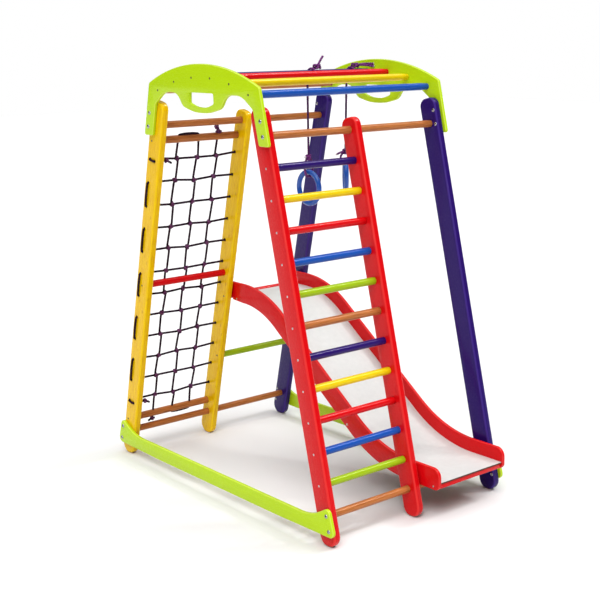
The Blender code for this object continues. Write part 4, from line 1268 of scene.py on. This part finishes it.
# %% The rope laced to and fro
HOLE_MOUTH = 0.002  # inside a leg's outer face, where the rope bends out of its hole
LACE_BOW = 0.0016  # a lace's stand-off from the leg's face, midway between its holes
STITCH_KNOT_OUT = 0.0250  # each end's knot, in from the near leg's inner face
STITCH_TAIL, STITCH_FALL = 0.022, Vector((0, 0.004, -0.011))  # its tail's reach, and how far that hangs
near_face, inner_face = near_x + leg_thick, inner_x + leg_thick
weft = []
for row in range(NET_ROWS):
    run = [net_place(row, x) for x in (near_x - NET_STAND_OFF, near_x + HOLE_MOUTH, near_face)]
    run += [net_knot(row, i) for i in range(NET_COLUMNS)]
    run += [net_place(row, x) for x in (inner_x, inner_face - HOLE_MOUTH, inner_face + NET_STAND_OFF)]
    if row in (0, NET_ROWS - 1):
        stitch = row_on_leg(row, NET_ACROSS - NET_STITCH)
        inside = near_face + STITCH_KNOT_OUT
        run_in = [Vector((x, *stitch)) for x in (inside, near_x + HOLE_MOUTH, near_x - NET_STAND_OFF)]
        run = [Vector((inside + STITCH_TAIL, *stitch)) + STITCH_FALL] + run_in + run
    weft += run if row % 2 == 0 else list(reversed(run))
    if row < NET_ROWS - 1 and weft[-1].x < near_x:
        middle = (weft[-1] + net_place(row + 1, weft[-1].x)) / 2
        weft.append(middle - Vector((LACE_BOW, 0, 0)))
weft = turned_corners(weft)
print(f"net rope: {run_length(weft):.2f} m to and fro")

# %% The rope that goes up and down
NET_TAIL = 0.030
LOW_KNOT_DOWN, LOW_END, HIGH_END = 0.2, (0.6, 0.5), (0.27, 0.55)  # in tails: down, then aside and outwards
LOOP_RISE = 0.0006  # a loop over a bar stands up a little in its middle
LOOP_SHARES = ((0.08, 0.55), (0.30, 0.95), (0.50, 1.0), (0.70, 0.95), (0.92, 0.55))  # along, and of the rise
over_bar = NET_BAR_R + NET_STAND_OFF
low_knot = warp_place(columns[0], NET_BOTTOM_ALONG - over_bar - NET_TAIL * LOW_KNOT_DOWN)
low_end = warp_place(columns[0] - NET_TAIL * LOW_END[0], NET_BOTTOM_ALONG - over_bar - NET_TAIL * LOW_END[1])
high_knot = warp_place(columns[-1], NET_TOP_ALONG + over_bar)
high_end = warp_place(columns[-1] - NET_TAIL * HIGH_END[0], NET_TOP_ALONG + over_bar + NET_TAIL * HIGH_END[1])
warp = [low_end, low_knot]
for column, x in enumerate(columns):
    down = [warp_place(x, NET_TOP_ALONG + NET_BAR_R)]
    for row in range(NET_ROWS):
        down += jog(row, column)
    down.append(warp_place(x, NET_BOTTOM_ALONG - NET_BAR_R))
    warp += down if column % 2 == 1 else list(reversed(down))
    if column < NET_COLUMNS - 1:
        rise = NET_STAND_OFF + LOOP_RISE
        for share, up in LOOP_SHARES:
            reach = NET_BAR_R + rise * up
            along = NET_TOP_ALONG + reach if column % 2 == 0 else NET_BOTTOM_ALONG - reach
            warp.append(warp_place(x + (columns[column + 1] - x) * share, along))
warp = turned_corners(warp + [high_knot, high_end])

NET_LAY = {"lay": 0.020, "step": 0.0025}
net_weft = rope_mesh("net_rope_to_and_fro", [weft], NET_ROPE_R, "net_rope", **NET_LAY)
net_warp = rope_mesh("net_rope_up_and_down", [warp], NET_ROPE_R, "net_rope", **NET_LAY)
print(f"net rope: {run_length(warp):.2f} m up and down")


# %% [markdown]
# ## Knots, screws and bolts set out on points
#
# A net has 36 crossings, and the frame some 50 screws. Each kind is one small shape put on many points,
# so a second tree does them all. A point carries the direction that its shape faces, and a seeded random
# turn about that direction, because nobody lines up the slots of screws.

# %% The set-out tree
FACING = "facing"
set_out_inputs = (
    ("Points", "Geometry", None),
    ("Shape", "Object", None),
    ("Seed", "Int", 1),
    ("Finish", "Material", None),
)
set_out_tree, given = new_tree("set out on points", set_out_inputs)
facing = add_node(set_out_tree, "GeometryNodeInputNamedAttribute", {"Name": FACING}, data_type="FLOAT_VECTOR")
aimed = add_node(set_out_tree, "FunctionNodeAlignRotationToVector", {"Vector": facing}, axis="Z")
any_turn = {2: 0.0, 3: math.tau, "Seed": given["Seed"]}
chance = add_node(set_out_tree, "FunctionNodeRandomValue", any_turn, data_type="FLOAT").outputs[1]
about = add_node(set_out_tree, "FunctionNodeAxisAngleToRotation", {"Axis": (0, 0, 1), "Angle": chance})
facing_turn = add_node(set_out_tree, "FunctionNodeRotateRotation", [aimed, about], rotation_space="LOCAL")
source = add_node(set_out_tree, "GeometryNodeObjectInfo", {"Object": given["Shape"]}).outputs["Geometry"]
as_points = add_node(set_out_tree, "GeometryNodeMeshToPoints", [given["Points"]])
placed = {"Points": as_points, "Instance": source, "Rotation": facing_turn}
copies = add_node(set_out_tree, "GeometryNodeInstanceOnPoints", placed)
end_tree(set_out_tree, copies, given["Finish"])


def set_out(name, shape, places, finish, seed):
    """Copies of a mesh at (place, direction) pairs, as one mesh."""
    points = bpy.data.meshes.new(name)
    points.from_pydata([place for place, _ in places], [], [])
    directions = points.attributes.new(FACING, "FLOAT_VECTOR", "POINT")
    directions.data.foreach_set("vector", [c for _, direction in places for c in direction])
    model = bpy.data.objects.new(shape.name, shape)
    settings = {"tree": set_out_tree, "Shape": model, "Seed": seed, "Finish": finishes[finish]}
    result = worked(points, [("NODES", settings)])
    bpy.data.objects.remove(model)
    return result


print("set-out tree has", len(set_out_tree.nodes), "nodes")

# %% Knots and pieces of the net
NET_KNOT_HALF, NET_KNOT_POINTS = (0.0068, 0.0062, 0.0040), 40
DOUBLE_KNOT = Vector((0.004, 0, 0))  # the upper end's knot has a second turn beside it
net_normal = Vector((0, math.cos(LEG_SLOPE), math.sin(LEG_SLOPE)))
trefoil = knot_route((0, 0, 0), NET_KNOT_HALF, NET_KNOT_POINTS)
knot_shape = rope_mesh("net_knot", [trefoil], NET_ROPE_R, "net_knot", closed=True)
crossings = [(net_knot(row, i), net_normal) for row in range(NET_ROWS) for i in range(NET_COLUMNS)]
crossings += [(spot, net_normal) for spot in (low_knot, high_knot, high_knot + DOUBLE_KNOT, high_end)]
for row in (0, NET_ROWS - 1):
    stitch = row_on_leg(row, NET_ACROSS - NET_STITCH)
    crossings.append((Vector((near_face + STITCH_KNOT_OUT, *stitch)), Vector((1, 0, 0))))
net_knots = set_out("net_knots", knot_shape, crossings, "net_knot", 7)
piece(net_weft, "net_rope", "frame", ["climbing_net"], sharp=ROPE_ANGLE)
piece(net_warp, "net_rope", "frame", sharp=ROPE_ANGLE)
piece(net_knots, "net_knot", "frame", sharp=ROPE_ANGLE)
print("knots:", len(crossings))


# %% [markdown]
# ## Screws and bolts
#
# A wood screw's head sits level with the face, so only its disc and cross recess show. A furniture bolt
# has a low domed head outside and a flat sleeve nut inside, both with the same recess. Each head is
# turned from a short profile, and the cross is cut with a tapered cutter, as a screwdriver's bit would
# fit it.

# %% Screw and bolt heads
SCREW_R, SCREW_HIGH = 0.0038, 0.0007
BOLT_HEAD_R, BOLT_HEAD_HIGH = 0.0072, 0.0042
NUT_R, NUT_HIGH = 0.0065, 0.0022
SCREW_CROSS, BOLT_CROSS, NUT_CROSS = (0.0019, 0.0011), (0.0042, 0.0034), (0.0036, 0.0020)  # reach and depth
HEAD_SIDES, DOME_STEPS, DOME_END = 28, 5, math.radians(78)
HEAD_SUNK = -0.0005
CROSS_ARM, CROSS_TAPER = 0.3, 0.55  # an arm's half width and the cross's size at its foot, as shares
CUT_OVER = 0.001  # the cutter starts this far above the head


def cross_outline(a, b):
    """The twelve corners of a cross that reaches a and whose arms are b wide to either side."""
    outline = []
    for k in range(4):
        cos, sin = round(math.cos(math.pi / 2 * k)), round(math.sin(math.pi / 2 * k))
        outline += [(x * cos - y * sin, x * sin + y * cos) for x, y in ((a, -b), (a, b), (b, b))]
    return outline


def head_mesh(name, radius, high, recess_reach, recess_deep):
    """A domed head with a cross recess. It faces +Z."""
    profile = [(radius, HEAD_SUNK)]
    for k in range(DOME_STEPS + 1):
        angle = DOME_END * k / DOME_STEPS
        profile.append((radius * math.cos(angle), high * math.sin(angle)))
    bm = bmesh.new()
    skin(bm, [[(*spot, z) for spot in circle((0, 0), r, HEAD_SIDES)] for r, z in profile])
    head = mesh_of(bm, name)
    bm = bmesh.new()
    top = profile[-1][1]
    cross = cross_outline(recess_reach, recess_reach * CROSS_ARM)
    tapered = [(x * CROSS_TAPER, y * CROSS_TAPER, top - recess_deep) for x, y in cross]
    skin(bm, [[(x, y, top + CUT_OVER) for x, y in cross], tapered])
    return cut_away(head, bm)


screw_head = head_mesh("screw_head", SCREW_R, SCREW_HIGH, *SCREW_CROSS)
bolt_head = head_mesh("bolt_head", BOLT_HEAD_R, BOLT_HEAD_HIGH, *BOLT_CROSS)
nut_head = head_mesh("nut_head", NUT_R, NUT_HIGH, *NUT_CROSS)
print("heads:", [len(m.polygons) for m in (screw_head, bolt_head, nut_head)], "faces")


# %% [markdown]
# ## Where the screws and bolts sit
#
# Two bolts hold each corner of a roof plate and of a brace. Bright screws hold the ladder's rungs and the
# slide's battens, and darker ones the roof bars, the net's bars and the bars of the far bay. Each screw
# lies on its bar's own axis, so the bars' boxes give every place.

# %% Set out the screws and bolts
ROOF_BOLTS, BRACE_BOLTS = ((1.3274, 0.0265), (1.3767, 0.0265)), ((0.1074, 0.0280), (0.0565, 0.0281))
toward, away = Vector((-1, 0, 0)), Vector((1, 0, 0))
plate_faces = (plates_x["near"], plates_x["far"] + PLATE_THICK)


def both_ends(node, faces):
    """A screw in each end of a bar, as (place, direction), at the X of the two faces."""
    bar = centre_of(node)
    return [(Vector((x, bar.y, bar.z)), way) for x, way in zip(faces, (toward, away))]


def screwed(name, head, places, finish, seed, body="frame", stands_for=()):
    """Heads of one kind, set out as a piece."""
    piece(set_out(name, head, places, finish, seed), finish, body, stands_for, name=name)


bolts, nuts = [], []
for outer, inner, way in zip(plate_faces, (near_face, far_x - leg_thick), (toward, away)):
    for side in (FRONT, BACK):
        for along, across in ROOF_BOLTS + BRACE_BOLTS:
            spot = on_leg(side, along, across)
            bolts.append((Vector((outer, *spot)), way))
            nuts.append((Vector((inner, *spot)), -way))
bolt_nodes = [node for node in frame["nodes"] if "_bolt_" in node]
screwed("bolts", bolt_head, bolts, "bolt_steel", 3, stands_for=bolt_nodes)
screwed("bolt_nuts", nut_head, nuts, "bolt_steel", 4)

bright = [screw for rung in rungs for screw in both_ends(rung, (near_x, inner_face))]
dark = []
for faces, screwed_bars in (
    ((near_x, inner_face), ("net_top_bar", "net_middle_rung", "net_bottom_bar")),
    ((inner_x, far_x), ("slide_hook_bar", "rear_low_rung")),
    (plate_faces, roof_bars),
):
    for node in screwed_bars:
        dark += both_ends(node, faces)
screwed("bright_screws", screw_head, bright, "steel", 5)
screwed("dark_screws", screw_head, dark, "dull_steel", 6)
print(len(bolts), "bolts,", len(bright), "bright screws,", len(dark), "dark screws")


# %% [markdown]
# ## The slide
#
# The slide's two rails are sawn to one curve: level at the top, a bend, a straight run at 36 degrees, and
# a long bend out to the foot. The white bed is a bent sheet between them on four battens. The rails'
# upper edge is the one rule here, so it is written once, and the rails, the bed and the battens are all
# measured down from it.

# %% Slide path
RAIL_WIDE, RAIL_TAIL_WIDE = 0.0767, 0.0675
CREST = Vector((0.375, 0.659))  # (y from the middle, z) where the rails' upper edge starts to fall
SLIDE_SLOPE = math.radians(35.6)
TOP_BEND, FOOT_BEND = 0.42, 0.46
STRAIGHT_END, TAIL, LIP = -0.300, 0.489, -0.712
BEND_STEPS = 24


def bend(centre, radius, angles):
    """(place, normal) steps of a bend. A negative radius has its centre over the path."""
    normals = [Vector((-math.sin(angle), math.cos(angle))) for angle in angles]
    return [(centre + normal * radius, normal) for normal in normals]


def slide_path():
    """(place, normal) steps down the rails' upper edge, from the tail to the lip. Each normal points up."""
    middle = Vector((middle_y, 0))
    steps = [(middle + Vector((TAIL, CREST.y)), Vector((0, 1)))]
    crest = middle + CREST - Vector((0, TOP_BEND))
    steps += bend(crest, TOP_BEND, [SLIDE_SLOPE * k / BEND_STEPS for k in range(BEND_STEPS + 1)])
    bend_end, normal = steps[-1]
    foot_y = middle_y + STRAIGHT_END
    fall = (bend_end.x - foot_y) * math.tan(SLIDE_SLOPE)
    foot = Vector((foot_y, bend_end.y - fall)) + normal * FOOT_BEND
    steps += bend(foot, -FOOT_BEND, [SLIDE_SLOPE * (1 - k / BEND_STEPS) for k in range(BEND_STEPS + 1)])
    return steps + [(Vector((middle_y + LIP, steps[-1][0].y)), Vector((0, 1)))]


path = slide_path()
print(f"the rails' upper edge is {run_length([place for place, _ in path]):.2f} m long")


# %% [markdown]
# ## The slide's rails
#
# The rails are boards like the legs, with a notch that drops over the hook bar. A sawyer marks one rail
# from the other, and here one outline serves both.

# %% Rails
NOTCH_R, NOTCH_STEPS, NOTCH_OVER = 0.0136, 20, 0.01
RAIL_ROUND, RAIL_EDGE_FACES = 0.0025, 4
TAIL_TOP_R, LIP_TOP_R, LIP_FOOT_R, TAIL_FOOT_R = 0.022, 0.032, 0.020, 0.014
upper = [place for place, _ in path]
lower = [place - normal * RAIL_WIDE for place, normal in path]
lower[0] = upper[0] - Vector((0, RAIL_TAIL_WIDE))
rail_corners = [(*upper[0], TAIL_TOP_R)] + [(*p, 0) for p in upper[1:-1]] + [(*upper[-1], LIP_TOP_R)]
rail_corners += [(*lower[-1], LIP_FOOT_R)] + [(*p, 0) for p in reversed(lower[1:-1])]
rail_corners += [(*lower[0], TAIL_FOOT_R)]
rail_outline = rounded(rail_corners)
hook = centre_of("slide_hook_bar").yz
half_circle = [math.pi * k / NOTCH_STEPS for k in range(NOTCH_STEPS + 1)]
notch = [hook + Vector((NOTCH_R, -RAIL_WIDE))]
notch += [hook + NOTCH_R * Vector((math.cos(angle), math.sin(angle))) for angle in half_circle]
notch += [hook + Vector((-NOTCH_R, -RAIL_WIDE))]
downhill = (0, math.cos(SLIDE_SLOPE), math.sin(SLIDE_SLOPE))
rails = {}
for node in ("slide_rail_left", "slide_rail_right"):
    low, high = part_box(node)
    rails[node] = (low.x, high.x)
    cut = (notch, low.x - NOTCH_OVER, high.x + NOTCH_OVER)
    shape = board(node, rail_outline, low.x, high.x, RAIL_ROUND, [cut], RAIL_EDGE_FACES)
    piece(shape, "red", "slide", [node], (downhill, (1, 0, 0)))
print("rails", {node: [round(x, 4) for x in ends] for node, ends in rails.items()})


# %% [markdown]
# ## The slide's bed
#
# The bed is the one sheet that follows a curve, so geometry nodes sweep its flat section down the path.
# It is brown hardboard with a thin white facing, and the brown shows as a dark line along the slide's
# lip, so the two layers are swept one on the other.

# %% The bent sheet tree
BED_DEPTH, BED_THICK, FACING_THICK = 0.050, 0.006, 0.0012
BED_TAIL, BED_LIP = 0.4395, -0.706
bed_inputs = (
    ("Route", "Geometry", None),
    ("Width", "Float", 0.3),
    ("Thickness", "Float", BED_THICK),
    ("Finish", "Material", None),
)
bed_tree, given = new_tree("bent sheet", bed_inputs)
upright = add_node(bed_tree, "GeometryNodeSetCurveNormal", {"Curve": given["Route"]}, mode="Z_UP")
flat = {"Width": given["Width"], "Height": given["Thickness"]}
flat_section = add_node(bed_tree, "GeometryNodeCurvePrimitiveQuadrilateral", flat)
sweep = {"Curve": upright, "Profile Curve": flat_section, "Fill Caps": True}
end_tree(bed_tree, add_node(bed_tree, "GeometryNodeCurveToMesh", sweep), given["Finish"])

bed_low, bed_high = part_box("slide_sheet")
bed_x = (bed_low.x + bed_high.x) / 2
bed_ends = {0: middle_y + BED_TAIL, len(path) - 1: middle_y + BED_LIP}


def bed_layer(name, depth, thickness, finish, stands_for=()):
    """A layer of the bed, from its depth under the rails' upper edge."""
    route = []
    for i, (place, normal) in enumerate(path):
        spot = Vector((bed_ends.get(i, place.x), place.y)) - normal * (depth + thickness / 2)
        route.append((bed_x, spot.x, spot.y))
    sizes = {"Width": bed_high.x - bed_low.x, "Thickness": thickness, "Finish": finishes[finish]}
    shape = worked(poly_curve(name, [route]), [("NODES", {"tree": bed_tree} | sizes)])
    piece(shape, finish, "slide", stands_for, ((0, 1, 0), (1, 0, 0)), SHEET_ANGLE)
    return len(shape.polygons)


faces = bed_layer("slide_bed_facing", BED_DEPTH, FACING_THICK, "facing", ["slide_sheet"])
faces += bed_layer("slide_bed_board", BED_DEPTH + FACING_THICK, BED_THICK - FACING_THICK, "hardboard")
print("bed", faces, "faces")


# %% [markdown]
# ## Battens under the bed
#
# Four battens join the rails and carry the bed, and each is held by a bright screw through each rail. A
# batten lies square to the path, so its outline is turned by the path's slope where it sits.

# %% Battens and their screws
BATTEN_THICK, BATTEN_WIDE, BATTEN_ROUND, BATTEN_EDGE_FACES = 0.016, 0.040, 0.0015, 3
BATTEN_PLACES = (0.4165, 0.045, -0.281, -0.684)


def on_path(y, depth):
    """(place, slope) of a point under the rails' upper edge, at a distance from the middle."""
    y += middle_y
    for (a, normal_a), (b, normal_b) in zip(path, path[1:]):
        if a.x >= y >= b.x:
            share = (a.x - y) / (a.x - b.x)
            normal = normal_a.lerp(normal_b, share).normalized()
            return a.lerp(b, share) - normal * depth, math.atan2(-normal.x, normal.y)


rail_screws = []
wide, thick = BATTEN_WIDE / 2, BATTEN_THICK / 2
for i, y in enumerate(BATTEN_PLACES):
    node = f"slide_batten_{i + 1}"
    centre, slope = on_path(y, BED_DEPTH + BED_THICK + thick + PLATE_GAP)
    square = ((wide, thick), (-wide, thick), (-wide, -thick), (wide, -thick))
    outline = [centre + Matrix.Rotation(slope, 2) @ Vector(corner) for corner in square]
    shape = board(node, outline, bed_low.x, bed_high.x, BATTEN_ROUND, (), BATTEN_EDGE_FACES)
    piece(shape, "red", "slide", [node])
    rail_screws.append((Vector((rails["slide_rail_left"][0], *centre)), toward))
    rail_screws.append((Vector((rails["slide_rail_right"][1], *centre)), away))
screwed("rail_screws", screw_head, rail_screws, "steel", 8, "slide")
print(len(BATTEN_PLACES), "battens,", len(rail_screws), "rail screws")


# %% [markdown]
# ## Last checks
#
# The dressed gym has to fill the same box as the frame it was built on.

# %% Compare the boxes and finish
visual_box = [list(corner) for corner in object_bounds()]
growth = [1000 * (v - c) for v, c in zip(visual_box[0] + visual_box[1], cad_box[0] + cad_box[1])]
print("pieces:", len(made_pieces), "growth of the box in mm:", [round(g, 1) for g in growth])
